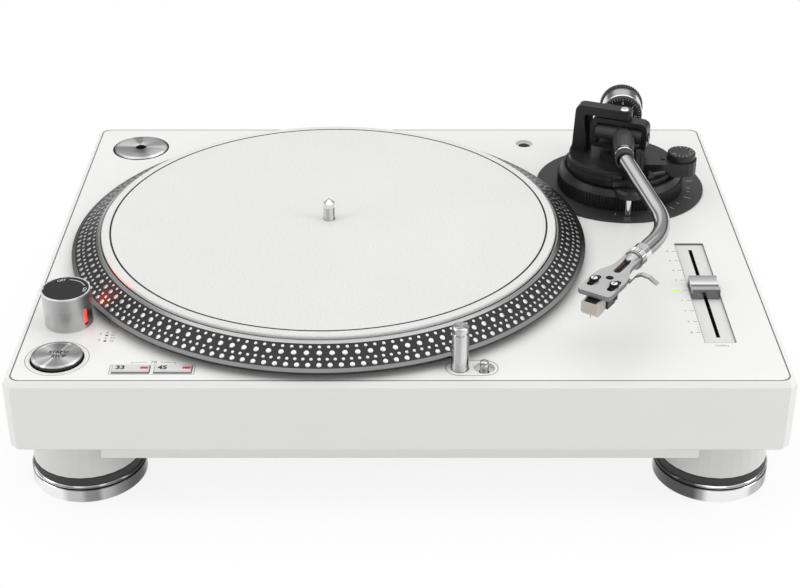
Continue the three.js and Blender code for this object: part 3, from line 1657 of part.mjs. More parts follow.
const bay_group = groupAt(bay_x, bay_front, bay_middle,
  mesh("jack_panel", "black_plastic", jackPanel()),
  groupAt(rca_offset_x, 0, 0, mesh("phono_socket_left", "black_plastic", phonoSocket())),
  groupAt(rca_offset_x - rca_pitch, 0, 0, mesh("phono_socket_right", "black_plastic", phonoSocket())),
  groupAt(ground_offset_x, 0, 0, mesh("ground_terminal", "satin_metal", groundTerminal())),
  groupAt(switch_offset_x, 0, 0, mesh("line_switch", "black_plastic", lineSwitch())),
  groupAt(usb_offset_x, 0, 0, mesh("usb_socket", "satin_metal", usbSocket())),
);

function mainsInlet() {
  const half_x = inlet_width / 2;
  const half_z = inlet_height / 2;
  const wide_x = half_x + inlet_flange_margin;
  const wide_z = half_z + inlet_flange_margin;
  const flange = slab(-wide_x, wide_x, 0, inlet_flange, -wide_z, wide_z);
  const body = slab(-half_x, half_x, -inlet_depth, overrun, -half_z, half_z);
  const hollow = slab(
    -inlet_hollow_width / 2, inlet_hollow_width / 2, inlet_flange - inlet_hollow_depth,
    inlet_flange + overrun,
    -inlet_hollow_height / 2, inlet_hollow_height / 2,
  );
  const blades = [-inlet_blade_pitch, 0, inlet_blade_pitch].map((x) => slab(
    x - inlet_blade_width / 2, x + inlet_blade_width / 2, inlet_flange - inlet_hollow_depth - overrun,
    inlet_flange - inlet_hollow_depth + inlet_blade_length, -inlet_blade_height / 2, inlet_blade_height / 2,
  ));
  return join(cut(join(flange, body), hollow), ...blades);
}

// Hinge socket for the dust cover, a pocket open at the top
function hingeSocket() {
  const outline = outlineOf([
    [-hinge_width / 2, 0], [hinge_width / 2, 0], [hinge_width / 2, hinge_reach - hinge_chamfer],
    [hinge_width / 2 - hinge_chamfer, hinge_reach], [hinge_chamfer - hinge_width / 2, hinge_reach],
    [-hinge_width / 2, hinge_reach - hinge_chamfer],
  ]);
  const middle = hinge_reach / 2;
  const pocket = slab(
    -hinge_slot_width / 2, hinge_slot_width / 2, middle - hinge_slot_depth / 2, middle + hinge_slot_depth / 2,
    hinge_top - hinge_slot_drop, hinge_top + overrun,
  );
  return cut(prism(outline, hinge_top - hinge_height, hinge_top), pocket);
}

const rear_group = groupAt(0, 0, 0,
  bay_group,
  groupAt(
    inlet_x, half_depth - inlet_bay_depth, bay_middle, mesh("mains_inlet", "black_plastic", mainsInlet()),
  ),
  groupAt(-hinge_x, half_depth, 0, mesh("hinge_socket_left", "white_plastic", hingeSocket())),
  groupAt(hinge_x, half_depth, 0, mesh("hinge_socket_right", "white_plastic", hingeSocket())),
);

// Boards inside, on standoffs from the base cover
function boardOn(width, length) {
  const half_x = width / 2;
  const half_y = length / 2;
  const plate = slab(-half_x, half_x, -half_y, half_y, board_lift, board_lift + board_thickness);
  const standoffs = feet.map(([x, y]) => moved(
    drum(standoff_radius, 0, board_lift + overrun, tiny_sides),
    x * (half_x - 2 * standoff_radius), y * (half_y - 2 * standoff_radius), 0,
  ));
  return join(plate, ...standoffs);
}

function mainBoard() {
  const low = board_lift + board_thickness - overrun;
  const chip = slab(-chip_size / 2, chip_size / 2, -chip_size / 2, chip_size / 2, low, low + chip_height);
  const heatsink = slab(0, heatsink_width, 0, heatsink_length, low, low + heatsink_height);
  return join(
    boardOn(board_width, board_length), chip, moved(chip, 2 * chip_size, 0, 0),
    moved(heatsink, -board_width / 2 + standoff_radius, -heatsink_length / 2, 0),
  );
}

function powerSupply() {
  const low = board_lift + board_thickness - overrun;
  const half = transformer_size / 2;
  const transformer = slab(-half, half, -half, half, low, low + transformer_height);
  const capacitor = drum(capacitor_radius, low, low + capacitor_height, small_sides);
  return join(
    boardOn(supply_width, supply_length), transformer, moved(capacitor, transformer_size, 0, 0),
    moved(capacitor, -transformer_size, 0, 0),
  );
}

const cover_top = plinth_bottom - cover_drop + cover_thickness;
const boards_group = groupAt(0, 0, cover_top,
  groupAt(board_x, board_y, 0, mesh("main_board", "board_green", mainBoard())),
  groupAt(supply_x, supply_y, 0, mesh("power_supply", "board_green", powerSupply())),
);

// The deck's own frame has its zero on the deck top, in the middle of the casing.
const turntable = groupAt(0, -hinge_reach / 2, deck_height,
  mesh("plinth", "white_plastic", plinth()),
  mesh("top_panel", "white_lacquer", topPanel()),
  mesh("base_cover", "white_plastic", baseCover()),
  feet_group,
  drive_group,
  controls_group,
  fader_group,
  stored_group,
  arm_group,
  rear_group,
  boards_group,
);
turntable.name = "turntable";

export default turntable;
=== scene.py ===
"""Dresses the DJ turntable: camera, materials, turned pieces and prints, floor and light.

Sizes are in millimetres on the deck's own axes, with the origin on its face, over the middle of the plinth.
at(), flat_at() and middle() carry them into the part's frame, which is in metres.
"""

import math

import bmesh
import bpy
from mathutils import Matrix, Vector


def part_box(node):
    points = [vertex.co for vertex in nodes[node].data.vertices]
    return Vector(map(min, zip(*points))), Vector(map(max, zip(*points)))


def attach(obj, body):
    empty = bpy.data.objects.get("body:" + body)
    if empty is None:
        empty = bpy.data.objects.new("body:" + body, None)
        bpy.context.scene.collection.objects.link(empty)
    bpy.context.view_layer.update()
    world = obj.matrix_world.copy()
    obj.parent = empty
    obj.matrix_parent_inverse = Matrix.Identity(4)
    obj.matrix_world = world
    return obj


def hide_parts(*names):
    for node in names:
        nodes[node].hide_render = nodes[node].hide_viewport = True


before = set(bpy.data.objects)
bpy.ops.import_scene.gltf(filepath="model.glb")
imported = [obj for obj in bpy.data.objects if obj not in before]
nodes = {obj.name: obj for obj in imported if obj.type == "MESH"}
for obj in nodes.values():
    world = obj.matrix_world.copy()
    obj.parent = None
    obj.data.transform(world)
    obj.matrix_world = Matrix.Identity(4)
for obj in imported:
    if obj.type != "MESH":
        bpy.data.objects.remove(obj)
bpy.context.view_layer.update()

MM = 0.001
DECK_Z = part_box("top_panel")[1][2] / MM
DECK_Y = (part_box("plinth")[0][1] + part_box("plinth")[1][1]) / 2 / MM
PANEL_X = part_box("top_panel")[1][0] / MM
PANEL_Y = (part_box("top_panel")[1][1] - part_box("top_panel")[0][1]) / 2 / MM
KNOB_FRONT, KNOB_BACK = (corner[1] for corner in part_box("fader_knob"))


def at(x, y, z):
    """A point on the deck's axes, in metres in the part's frame."""
    return Vector((x * MM, (y + DECK_Y) * MM, (z + DECK_Z) * MM))


def flat_at(x, y, z):
    """A level place on the deck's axes."""
    return Matrix.Translation(at(x, y, z))


def middle(node, z=0.0):
    """A level place over the middle of a CAD node, z above the deck."""
    low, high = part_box(node)
    return Matrix.Translation(((low[0] + high[0]) / 2, (low[1] + high[1]) / 2, (z + DECK_Z) * MM))


def moved(x, y, z=0.0):
    return Matrix.Translation((x * MM, y * MM, z * MM))


def spun(degrees):
    return Matrix.Rotation(math.radians(degrees), 4, "Z")


# Camera
SENSOR_WIDTH, LENS = 36.0, 72.607
CAMERA_BACK, CAMERA_UP, CAMERA_TILT = -935.96, 496.91, 60.038
NEAREST, FARTHEST = 0.05, 20.0
camera = bpy.data.objects.new("camera", bpy.data.cameras.new("camera"))
bpy.context.scene.collection.objects.link(camera)
camera.data.sensor_width = SENSOR_WIDTH
camera.data.lens = LENS
camera.data.clip_start = NEAREST
camera.data.clip_end = FARTHEST
camera.location = at(0.0, CAMERA_BACK, CAMERA_UP)
camera.rotation_euler = (math.radians(CAMERA_TILT), 0.0, 0.0)
bpy.context.scene.camera = camera
bpy.context.scene.view_settings.view_transform = "Standard"


# Shader helpers
COAT_ROUGHNESS = 0.12
NOISE_LOW, NOISE_HIGH = 0.3, 0.7
RELIEF_DEPTH = 0.0004
SLOW_DETAIL, FINE_DETAIL = 4.0, 3.0
SMOOTHEST = 0.02


def grey(value):
    return (value, value, value)


def remap(tree, value, low, high, to_low, to_high):
    """A value carried from one range to another."""
    ranges = tree.nodes.new("ShaderNodeMapRange")
    for name, limit in (("From Min", low), ("From Max", high), ("To Min", to_low), ("To Max", to_high)):
        ranges.inputs[name].default_value = limit
    tree.links.new(value, ranges.inputs["Value"])
    return ranges.outputs["Result"]


def multiply(tree, color, factor):
    """A colour times a value. Both are sockets, or the colour is a plain one."""
    product = tree.nodes.new("ShaderNodeMix")
    product.data_type = "RGBA"
    product.blend_type = "MULTIPLY"
    product.inputs["Factor"].default_value = 1.0
    if isinstance(color, tuple):
        product.inputs["A"].default_value = (*color, 1.0)
    else:
        tree.links.new(color, product.inputs["A"])
    tree.links.new(factor, product.inputs["B"])
    return product.outputs["Result"]


def split_axes(tree, vector):
    split = tree.nodes.new("ShaderNodeSeparateXYZ")
    tree.links.new(vector, split.inputs["Vector"])
    return split.outputs


def noise(tree, vector, scale, detail):
    texture = tree.nodes.new("ShaderNodeTexNoise")
    texture.inputs["Scale"].default_value = scale
    texture.inputs["Detail"].default_value = detail
    tree.links.new(vector, texture.inputs["Vector"])
    return texture


def material(name, color, rough=0.4, metal=0.0, coat=0.0, aniso=0.0, spec=0.5, vary=0.06, scale=40.0,
             bump=0.02, grain=900.0, rough_vary=0.05, stretch=(1.0, 1.0, 1.0)):
    """A procedural finish: slow variation of colour and roughness, and a fine grain as bump."""
    mat = bpy.data.materials.new(name)
    mat.use_nodes = True
    tree = mat.node_tree
    shader = tree.nodes["Principled BSDF"]
    shader.inputs["Metallic"].default_value = metal
    shader.inputs["Coat Weight"].default_value = coat
    shader.inputs["Coat Roughness"].default_value = COAT_ROUGHNESS
    shader.inputs["Anisotropic"].default_value = aniso
    shader.inputs["Specular IOR Level"].default_value = spec
    coords = tree.nodes.new("ShaderNodeTexCoord")
    coords.name = "coords"
    slow = noise(tree, coords.outputs["Object"], scale, SLOW_DETAIL).outputs["Fac"]
    tint = remap(tree, slow, NOISE_LOW, NOISE_HIGH, 1.0 - vary, 1.0)
    tree.links.new(multiply(tree, color, tint), shader.inputs["Base Color"])
    gloss = remap(tree, slow, 0.0, 1.0, max(rough - rough_vary, SMOOTHEST), rough + rough_vary)
    tree.links.new(gloss, shader.inputs["Roughness"])
    stretched = tree.nodes.new("ShaderNodeMapping")
    stretched.inputs["Scale"].default_value = stretch
    tree.links.new(coords.outputs["Object"], stretched.inputs["Vector"])
    fine = noise(tree, stretched.outputs["Vector"], grain, FINE_DETAIL)
    fine.name = "fine"
    relief = tree.nodes.new("ShaderNodeBump")
    relief.inputs["Strength"].default_value = bump
    relief.inputs["Distance"].default_value = RELIEF_DEPTH
    tree.links.new(fine.outputs["Fac"], relief.inputs["Height"])
    tree.links.new(relief.outputs["Normal"], shader.inputs["Normal"])
    return mat


def times(mat, socket):
    """Multiplies a finish's colour by one more value."""
    tree = mat.node_tree
    base = tree.nodes["Principled BSDF"].inputs["Base Color"]
    tree.links.new(multiply(tree, base.links[0].from_socket, socket), base)
    return mat


def shade_ramp(tree, socket, stops):
    """Greys at places from 0 to 1, read by a socket."""
    ramp = tree.nodes.new("ShaderNodeValToRGB")
    elements = ramp.color_ramp.elements
    while len(elements) > 1:
        elements.remove(elements[-1])
    for i, (place, value) in enumerate(stops):
        element = elements[0] if i == 0 else elements.new(place)
        element.position = place
        element.color = (value, value, value, 1.0)
    tree.links.new(socket, ramp.inputs["Fac"])
    return ramp.outputs["Color"]


# Materials
def turned_metal_painted_reflection(name, color, sectors, rough=0.28, aniso=0.6, **more):
    """Lathe-turned metal with painted reflections and shade: (degrees, brightness) round its axis, -180 to
    180.
    """
    mat = material(name, color, rough=rough, metal=1.0, aniso=aniso, **more)
    tree = mat.node_tree
    shader = tree.nodes["Principled BSDF"]
    tangent = tree.nodes.new("ShaderNodeTangent")
    tangent.direction_type = "RADIAL"
    tangent.axis = "Z"
    tree.links.new(tangent.outputs["Tangent"], shader.inputs["Tangent"])
    around = tree.nodes.new("ShaderNodeTexGradient")
    around.gradient_type = "RADIAL"
    tree.links.new(tree.nodes["coords"].outputs["Object"], around.inputs["Vector"])
    stops = [((degrees + 180.0) / 360.0, value) for degrees, value in sectors]
    return times(mat, shade_ramp(tree, around.outputs["Fac"], stops))


def metal_with_painted_bands(name, color, front, back, stops, **more):
    """Metal with painted reflection bands across its depth, from the front to the back."""
    mat = material(name, color, metal=1.0, **more)
    tree = mat.node_tree
    depth = split_axes(tree, tree.nodes["coords"].outputs["Object"])["Y"]
    return times(mat, shade_ramp(tree, remap(tree, depth, front, back, 0.0, 1.0), stops))


def painted_shade_on_sides(mat, side=0.4):
    """Darkens the faces that don't look up: painted reflection, as polished castings show their surroundings
    there.
    """
    tree = mat.node_tree
    upward = split_axes(tree, tree.nodes["coords"].outputs["Normal"])["Z"]
    return times(mat, shade_ramp(tree, upward, [(0.0, side), (0.55, side), (0.9, 1.0)]))


def metal_with_painted_streaks(name, color, stops, **more):
    """Metal with painted reflection streaks round a tube, placed by the mesh's own value for the way round.
    """
    mat = material(name, color, metal=1.0, **more)
    tree = mat.node_tree
    around = tree.nodes.new("ShaderNodeAttribute")
    around.attribute_name = "around"
    return times(mat, shade_ramp(tree, around.outputs["Fac"], stops))


def woven_felt(name, color):
    """Felt with crossing threads, a little darker between them."""
    mat = material(name, color, rough=0.95, spec=0.15, vary=0.03, scale=18.0, bump=0.35, grain=1500.0,
                   stretch=(0.45, 1.0, 1.0))
    tree = mat.node_tree
    shader = tree.nodes["Principled BSDF"]
    shader.inputs["Sheen Weight"].default_value = 0.25
    shader.inputs["Sheen Roughness"].default_value = 0.4
    return times(mat, remap(tree, tree.nodes["fine"].outputs["Fac"], NOISE_LOW, NOISE_HIGH, 0.9, 1.05))


def glow(name, color, strength):
    mat = material(name, color, rough=0.3)
    shader = mat.node_tree.nodes["Principled BSDF"]
    shader.inputs["Emission Color"].default_value = (*color, 1.0)
    shader.inputs["Emission Strength"].default_value = strength
    return mat


# Painted brightness: reflections and shade round the turned pieces, along the tube and across the fader knob
BUTTON_PAINTED_REFLECTION = [
    (-180, 0.35), (-165, 0.5), (-150, 0.85), (-135, 0.62), (-121, 0.5), (-117, 1.0), (-110, 1.0),
    (-106, 0.5), (-85, 0.4), (-60, 0.55), (-40, 0.9), (-25, 0.8), (-10, 0.45), (5, 0.35), (25, 0.5),
    (45, 0.75), (57, 0.5), (62, 1.0), (68, 1.0), (73, 0.5), (95, 0.42), (115, 0.6), (135, 0.9),
    (150, 0.6), (165, 0.4), (180, 0.35),
]
ADAPTOR_PAINTED_REFLECTION = [
    (-180, 0.5), (-172, 0.42), (-150, 0.5), (-125, 0.62), (-100, 0.7), (-88, 0.62), (-80, 0.5),
    (-68, 0.5), (-55, 0.85), (-25, 0.9), (-14, 0.7), (-6, 1.0), (6, 0.95), (14, 0.55), (35, 0.5),
    (60, 0.68), (88, 0.66), (96, 0.4), (112, 0.42), (122, 0.8), (150, 0.95), (170, 1.0), (176, 0.8),
    (180, 0.5),
]
CYLINDER_PAINTED_REFLECTION = [
    (-180, 0.5), (-165, 0.25), (-155, 0.95), (-135, 1.0), (-120, 0.62), (-95, 0.6), (-75, 0.95),
    (-55, 1.0), (-42, 0.5), (-28, 0.2), (-15, 0.6), (30, 0.5), (60, 0.9), (90, 0.6), (120, 0.9),
    (150, 0.4), (180, 0.5),
]
BAND_PAINTED_REFLECTION = [
    (-180, 0.1), (-165, 0.12), (-157, 0.45), (-151, 1.0), (-110, 1.0), (-103, 0.62), (-90, 0.56),
    (-84, 0.3), (-73, 0.26), (-68, 0.55), (-60, 0.45), (-50, 0.26), (-35, 0.12), (-15, 0.06), (5, 0.1),
    (40, 0.5), (80, 1.0), (118, 0.5), (135, 0.12), (180, 0.1),
]
TOWER_PAINTED_SHADE = [
    (-180, 0.7), (-160, 0.95), (-140, 0.8), (-110, 0.62), (-80, 0.66), (-55, 0.75), (-42, 0.8),
    (-30, 0.4), (-15, 0.3), (10, 0.5), (60, 0.9), (120, 0.7), (180, 0.7),
]
TUBE_PAINTED_REFLECTION = [
    (0.0, 0.3), (0.2, 0.2), (0.27, 0.42), (0.36, 0.58), (0.44, 0.36), (0.5, 0.42), (0.54, 0.95),
    (0.62, 1.0), (0.67, 0.8), (0.71, 0.3), (0.76, 0.22), (1.0, 0.3),
]
KNOB_PAINTED_REFLECTION = [
    (0.0, 0.25), (0.04, 0.3), (0.07, 1.0), (0.14, 1.0), (0.22, 0.85), (0.42, 0.75), (0.5, 0.95),
    (0.58, 0.8), (0.72, 0.45), (0.86, 0.3), (0.93, 0.35), (0.97, 0.9), (1.0, 0.8),
]

WHITE = (0.80, 0.80, 0.785)
DULL_WHITE = (0.70, 0.70, 0.69)
M = {
    "lacquer": material("lacquer", WHITE, rough=0.36, coat=0.2, vary=0.012, bump=0.03, grain=1800.0),
    "white": material("white_moulding", WHITE, rough=0.34, coat=0.15, vary=0.015, bump=0.03),
    "white_post": material("white_post", DULL_WHITE, rough=0.4, vary=0.02),
    "recess_floor": material("recess_floor", DULL_WHITE, rough=0.4, vary=0.03),
    # Grey painted shade on recess walls and in bores
    "recess_wall_shade": material("recess_wall_shade", grey(0.16), rough=0.4, vary=0.1),
    "black": material("black_moulding", grey(0.016), rough=0.38, vary=0.2, bump=0.06),
    "plate": material("plate_black", grey(0.03), rough=0.5, vary=0.15, bump=0.1, grain=2600.0),
    "black_gloss": material("black_gloss", grey(0.012), rough=0.2, vary=0.1),
    "cap_disc": material("cap_disc", grey(0.014), rough=0.5, spec=0.25, vary=0.1),
    "rubber": material("rubber", grey(0.035), rough=0.6, vary=0.25, bump=0.2),
    "dark_metal": material("dark_metal", grey(0.02), rough=0.34, metal=0.1, spec=0.4, vary=0.1),
    "housing": material("housing", grey(0.06), rough=0.42, metal=0.3, vary=0.1, bump=0.05),
    "satin": material("satin_metal", grey(0.66), rough=0.26, metal=1.0, vary=0.05),
    "button_face": material("button_face", grey(0.72), rough=0.36, metal=0.5, vary=0.03),
    "steel_dark": material("steel_dark", grey(0.26), rough=0.34, metal=1.0, vary=0.08),
    # Turned finishes with painted reflections and, on the tower, painted shade round the axis
    "start_metal": turned_metal_painted_reflection("start_metal", grey(0.84), BUTTON_PAINTED_REFLECTION),
    "adaptor_metal": turned_metal_painted_reflection("adaptor_metal", grey(0.86), ADAPTOR_PAINTED_REFLECTION),
    "lamp_metal": turned_metal_painted_reflection("lamp_metal", grey(0.78), CYLINDER_PAINTED_REFLECTION, rough=0.2, aniso=0.4, bump=0.0),
    "band_metal": turned_metal_painted_reflection("band_metal", grey(0.92), BAND_PAINTED_REFLECTION, rough=0.14, aniso=0.3),
    "tower_metal": turned_metal_painted_reflection("tower_metal", grey(0.78), TOWER_PAINTED_SHADE, rough=0.4, aniso=0.2, bump=0.0),
    "rim_metal": material("rim_metal", grey(0.92), rough=0.22, metal=0.9, vary=0.03),
    "chrome": material("chrome", grey(0.86), rough=0.07, metal=1.0, vary=0.03, bump=0.0, rough_vary=0.02),
    "polished": material("polished_tube", grey(0.76), rough=0.12, metal=1.0, vary=0.03, rough_vary=0.03),
    "tube_metal": metal_with_painted_streaks("tube_metal", grey(0.95), TUBE_PAINTED_REFLECTION, rough=0.14, rough_vary=0.02,
                                 bump=0.0),
    "screw_metal": material("screw_metal", grey(0.86), rough=0.35, metal=0.3, vary=0.04, bump=0.0),
    "knob_chrome": metal_with_painted_bands("knob_chrome", grey(0.8), KNOB_FRONT, KNOB_BACK, KNOB_PAINTED_REFLECTION, rough=0.2,
                                bump=0.0),
    "cast": painted_shade_on_sides(material("cast_head", grey(0.54), rough=0.26, metal=0.5, vary=0.04, bump=0.004)),
    "platter": material("platter_black", grey(0.014), rough=0.34, metal=0.3, vary=0.1, grain=3000.0),
    "lip": material("lip_metal", grey(0.2), rough=0.28, metal=1.0, vary=0.08),
    "crown": material("crown_metal", grey(0.42), rough=0.24, metal=1.0, vary=0.05),
    "dot": material("dot_metal", grey(0.66), rough=0.3, metal=1.0, vary=0.05),
    "felt": woven_felt("felt_mat", (0.73, 0.727, 0.715)),
    "felt_ink": material("felt_ink", grey(0.02), rough=0.9, vary=0.2),
    "ink": material("deck_ink", grey(0.1), rough=0.5, vary=0.1),
    "ink_dark": material("deck_ink_dark", grey(0.015), rough=0.5, vary=0.1),
    "ink_light": material("deck_ink_light", grey(0.2), rough=0.5, vary=0.1),
    "seam": material("panel_seam", grey(0.14), rough=0.6, vary=0.1),
    "white_ink": material("white_ink", grey(0.8), rough=0.5, vary=0.1),
    "brass": material("brass", (0.6, 0.42, 0.18), rough=0.3, metal=1.0),
    "green_board": material("board", (0.03, 0.12, 0.05), rough=0.4),
    "copper": material("coil_carrier", (0.42, 0.2, 0.09), rough=0.45, metal=0.3),
    "magnet": material("magnet", grey(0.05), rough=0.55, metal=0.3),
    "beige": material("guard_plastic", (0.50, 0.455, 0.42), rough=0.3, vary=0.05),
    # Near-black painted shade, laid in gaps, wells, slots, grooves, bores and holes
    "gap": material("gap_painted_shade", grey(0.004), rough=0.9),
    "wire_red": material("wire_red", (0.1, 0.006, 0.004), rough=0.5),
    "wire_dark": material("wire_dark", (0.02, 0.02, 0.03), rough=0.4),
    "red_glow": glow("strobe_red", (1.0, 0.05, 0.03), 1.6),
    "led_red": glow("led_red", (0.5, 0.01, 0.03), 0.35),
    "led_green": glow("led_green", (0.42, 0.75, 0.04), 0.55),
}


# Smoothing for the CAD nodes: faces are smooth, edges over the limit stay sharp
def smooth_group(limit):
    group = bpy.data.node_groups.new("smooth_by_angle", "GeometryNodeTree")
    group.interface.new_socket("Geometry", in_out="INPUT", socket_type="NodeSocketGeometry")
    group.interface.new_socket("Geometry", in_out="OUTPUT", socket_type="NodeSocketGeometry")
    inlet = group.nodes.new("NodeGroupInput")
    outlet = group.nodes.new("NodeGroupOutput")
    faces = group.nodes.new("GeometryNodeSetShadeSmooth")
    faces.domain = "FACE"
    edges = group.nodes.new("GeometryNodeSetShadeSmooth")
    edges.domain = "EDGE"
    edges.inputs["Shade Smooth"].default_value = False
    angle = group.nodes.new("GeometryNodeInputMeshEdgeAngle")
    over = group.nodes.new("FunctionNodeCompare")
    over.data_type = "FLOAT"
    over.operation = "GREATER_THAN"
    over.inputs[1].default_value = math.radians(limit)
    group.links.new(angle.outputs["Unsigned Angle"], over.inputs[0])
    group.links.new(over.outputs["Result"], edges.inputs["Selection"])
    group.links.new(inlet.outputs["Geometry"], faces.inputs["Geometry"])
    group.links.new(faces.outputs["Geometry"], edges.inputs["Geometry"])
    group.links.new(edges.outputs["Geometry"], outlet.inputs["Geometry"])
    return group


round_edges = smooth_group(60.0)
soft_edges = smooth_group(30.0)
crisp_edges = smooth_group(12.0)


def bevelled(piece, width, angle):
    """Breaks the edges that turn by more than an angle."""
    edge = piece.modifiers.new("edge", "BEVEL")
    edge.width = width * MM
    edge.segments = 2
    edge.limit_method = "ANGLE"
    edge.angle_limit = math.radians(angle)


def dress(node, mat, bevel=0.0, smooth=soft_edges):
    """Gives a CAD node its material, and a small bevel and smooth shading as modifiers."""
    piece = nodes[node]
    piece.data.materials.clear()
    piece.data.materials.append(M[mat])
    if bevel:
        bevelled(piece, bevel, 40.0)
    piece.modifiers.new("smooth", "NODES").node_group = smooth


# Mesh helpers: outlines, solids from them, and pieces that ride on a body
def ridden(mesh, name, body, where):
    obj = bpy.data.objects.new(name, mesh)
    bpy.context.scene.collection.objects.link(obj)
    obj.matrix_world = where
    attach(obj, body)
    return obj


def piece_from(bm, name, mat, body, replaces=(), sharp=30.0, where=None, bevel=0.0):
    """A piece from a mesh in the making. It may stand for CAD nodes, which are then hidden."""
    mesh = bpy.data.meshes.new(name)
    bmesh.ops.recalc_face_normals(bm, faces=bm.faces[:])
    bm.to_mesh(mesh)
    bm.free()
    mesh.shade_smooth()
    mesh.set_sharp_from_angle(angle=math.radians(sharp))
    mesh.materials.append(M[mat])
    obj = ridden(mesh, name, body, flat_at(0, 0, 0) if where is None else where)
    if bevel:
        bevelled(obj, bevel, 30.0)
    if replaces:
        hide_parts(*replaces)
    return obj


def lathe_mesh(profile, sides=96):
    """Turns a profile of (radius, height) round +Z.

    Points on the axis close the ends, and a last point equal to the first closes a ring.
    """
    bm = bmesh.new()
    closed = profile[0] == profile[-1]
    points = profile[:-1] if closed else profile
    rows = []
    for radius, height in points:
        ring = circle(radius, sides) if radius else [(0.0, 0.0)]
        rows.append([bm.verts.new((x * MM, y * MM, height * MM)) for x, y in ring])
    pairs = list(zip(rows, rows[1:]))
    if closed:
        pairs.append((rows[-1], rows[0]))
    for low, high in pairs:
        for i in range(sides):
            j = (i + 1) % sides
            if len(low) == 1 and len(high) == 1:
                continue
            if len(low) == 1:
                bm.faces.new((low[0], high[j], high[i]))
            elif len(high) == 1:
                bm.faces.new((low[i], low[j], high[0]))
            else:
                bm.faces.new((low[i], low[j], high[j], high[i]))
    return bm


def extrude_mesh(outline, low, high, holes=()):
    """A prism over a closed outline of (x, y), with any holes."""
    bm = bmesh.new()
    edges = []
    for ring in (outline, *holes):
        verts = [bm.verts.new((x * MM, y * MM, low * MM)) for x, y in ring]
        edges += [bm.edges.new((verts[i], verts[(i + 1) % len(verts)])) for i in range(len(verts))]
    filled = bmesh.ops.triangle_fill(bm, use_beauty=True, use_dissolve=False, edges=edges)
    faces = [f for f in filled["geom"] if isinstance(f, bmesh.types.BMFace)]
    grown = bmesh.ops.extrude_face_region(bm, geom=faces, use_keep_orig=True)
    top = [v for v in grown["geom"] if isinstance(v, bmesh.types.BMVert)]
    bmesh.ops.translate(bm, verts=top, vec=(0.0, 0.0, (high - low) * MM))
    return bm


def arc(radius, start, end, steps, x=0.0, y=0.0):
    angles = [math.radians(start + (end - start) * i / steps) for i in range(steps + 1)]
    return [(x + radius * math.cos(a), y + radius * math.sin(a)) for a in angles]


def circle(radius, sides=64, x=0.0, y=0.0):
    return arc(radius, 0.0, 360.0, sides, x, y)[:-1]


def rounded(left, right, front, back, radius, steps=6):
    points = []
    points += arc(radius, 0, 90, steps, right - radius, back - radius)
    points += arc(radius, 90, 180, steps, left + radius, back - radius)
    points += arc(radius, 180, 270, steps, left + radius, front + radius)
    points += arc(radius, 270, 360, steps, right - radius, front + radius)
    return points


def box_outline(left, right, front, back):
    return [(left, front), (right, front), (right, back), (left, back)]


def turn(name, profile, where, mat, body, replaces=(), sides=96, sharp=30.0):
    return piece_from(lathe_mesh(profile, sides), name, mat, body, replaces, sharp, where)


def tube_wall(name, inner, outer, low, high, where, mat, body, sides=64):
    profile = [(inner, low), (outer, low), (outer, high), (inner, high), (inner, low)]
    return turn(name, profile, where, mat, body, sides=sides)


def plate(name, outline, low, high, mat, body, holes=(), where=None, bevel=0.0, replaces=()):
    bm = extrude_mesh(outline, low, high, holes)
    return piece_from(bm, name, mat, body, replaces, where=where, bevel=bevel)


INK_THICK, INK_GAP = 0.02, 0.01
LETTER_THICK = 0.01


def print_on(name, outline, z, mat, body, holes=(), where=None):
    """A thin coat of ink on a flat face."""
    return plate(name, outline, z, z + INK_THICK, mat, body, holes, where)


def deck_print(name, outline, mat, holes=(), where=None):
    return print_on(name, outline, INK_GAP, mat, "chassis", holes, where)


def border(name, box, corner, line, inner_corner, mat, steps=6, where=None):
    """A printed line round a box of (left, right, front, back)."""
    left, right, front, back = box
    inner = rounded(left + line, right - line, front + line, back - line, inner_corner, steps)
    return deck_print(name, rounded(*box, corner, steps), mat, [inner], where)


def lettering(name, text, size, mat, body, where, bold=0.0):
    """Plain letters or numbers, lying flat in the plane of a matrix."""
    curve = bpy.data.curves.new(name, "FONT")
    curve.body = text
    curve.size = size * MM
    curve.align_x = "CENTER"
    curve.offset = bold * MM
    curve.align_y = "CENTER"
    curve.extrude = LETTER_THICK * MM
    source = bpy.data.objects.new(name + "_curve", curve)
    bpy.context.scene.collection.objects.link(source)
    bpy.context.view_layer.update()
    mesh = bpy.data.meshes.new_from_object(source.evaluated_get(bpy.context.evaluated_depsgraph_get()))
    bpy.data.objects.remove(source)
    mesh.materials.clear()
    mesh.materials.append(M[mat])
    return ridden(mesh, name, body, where)


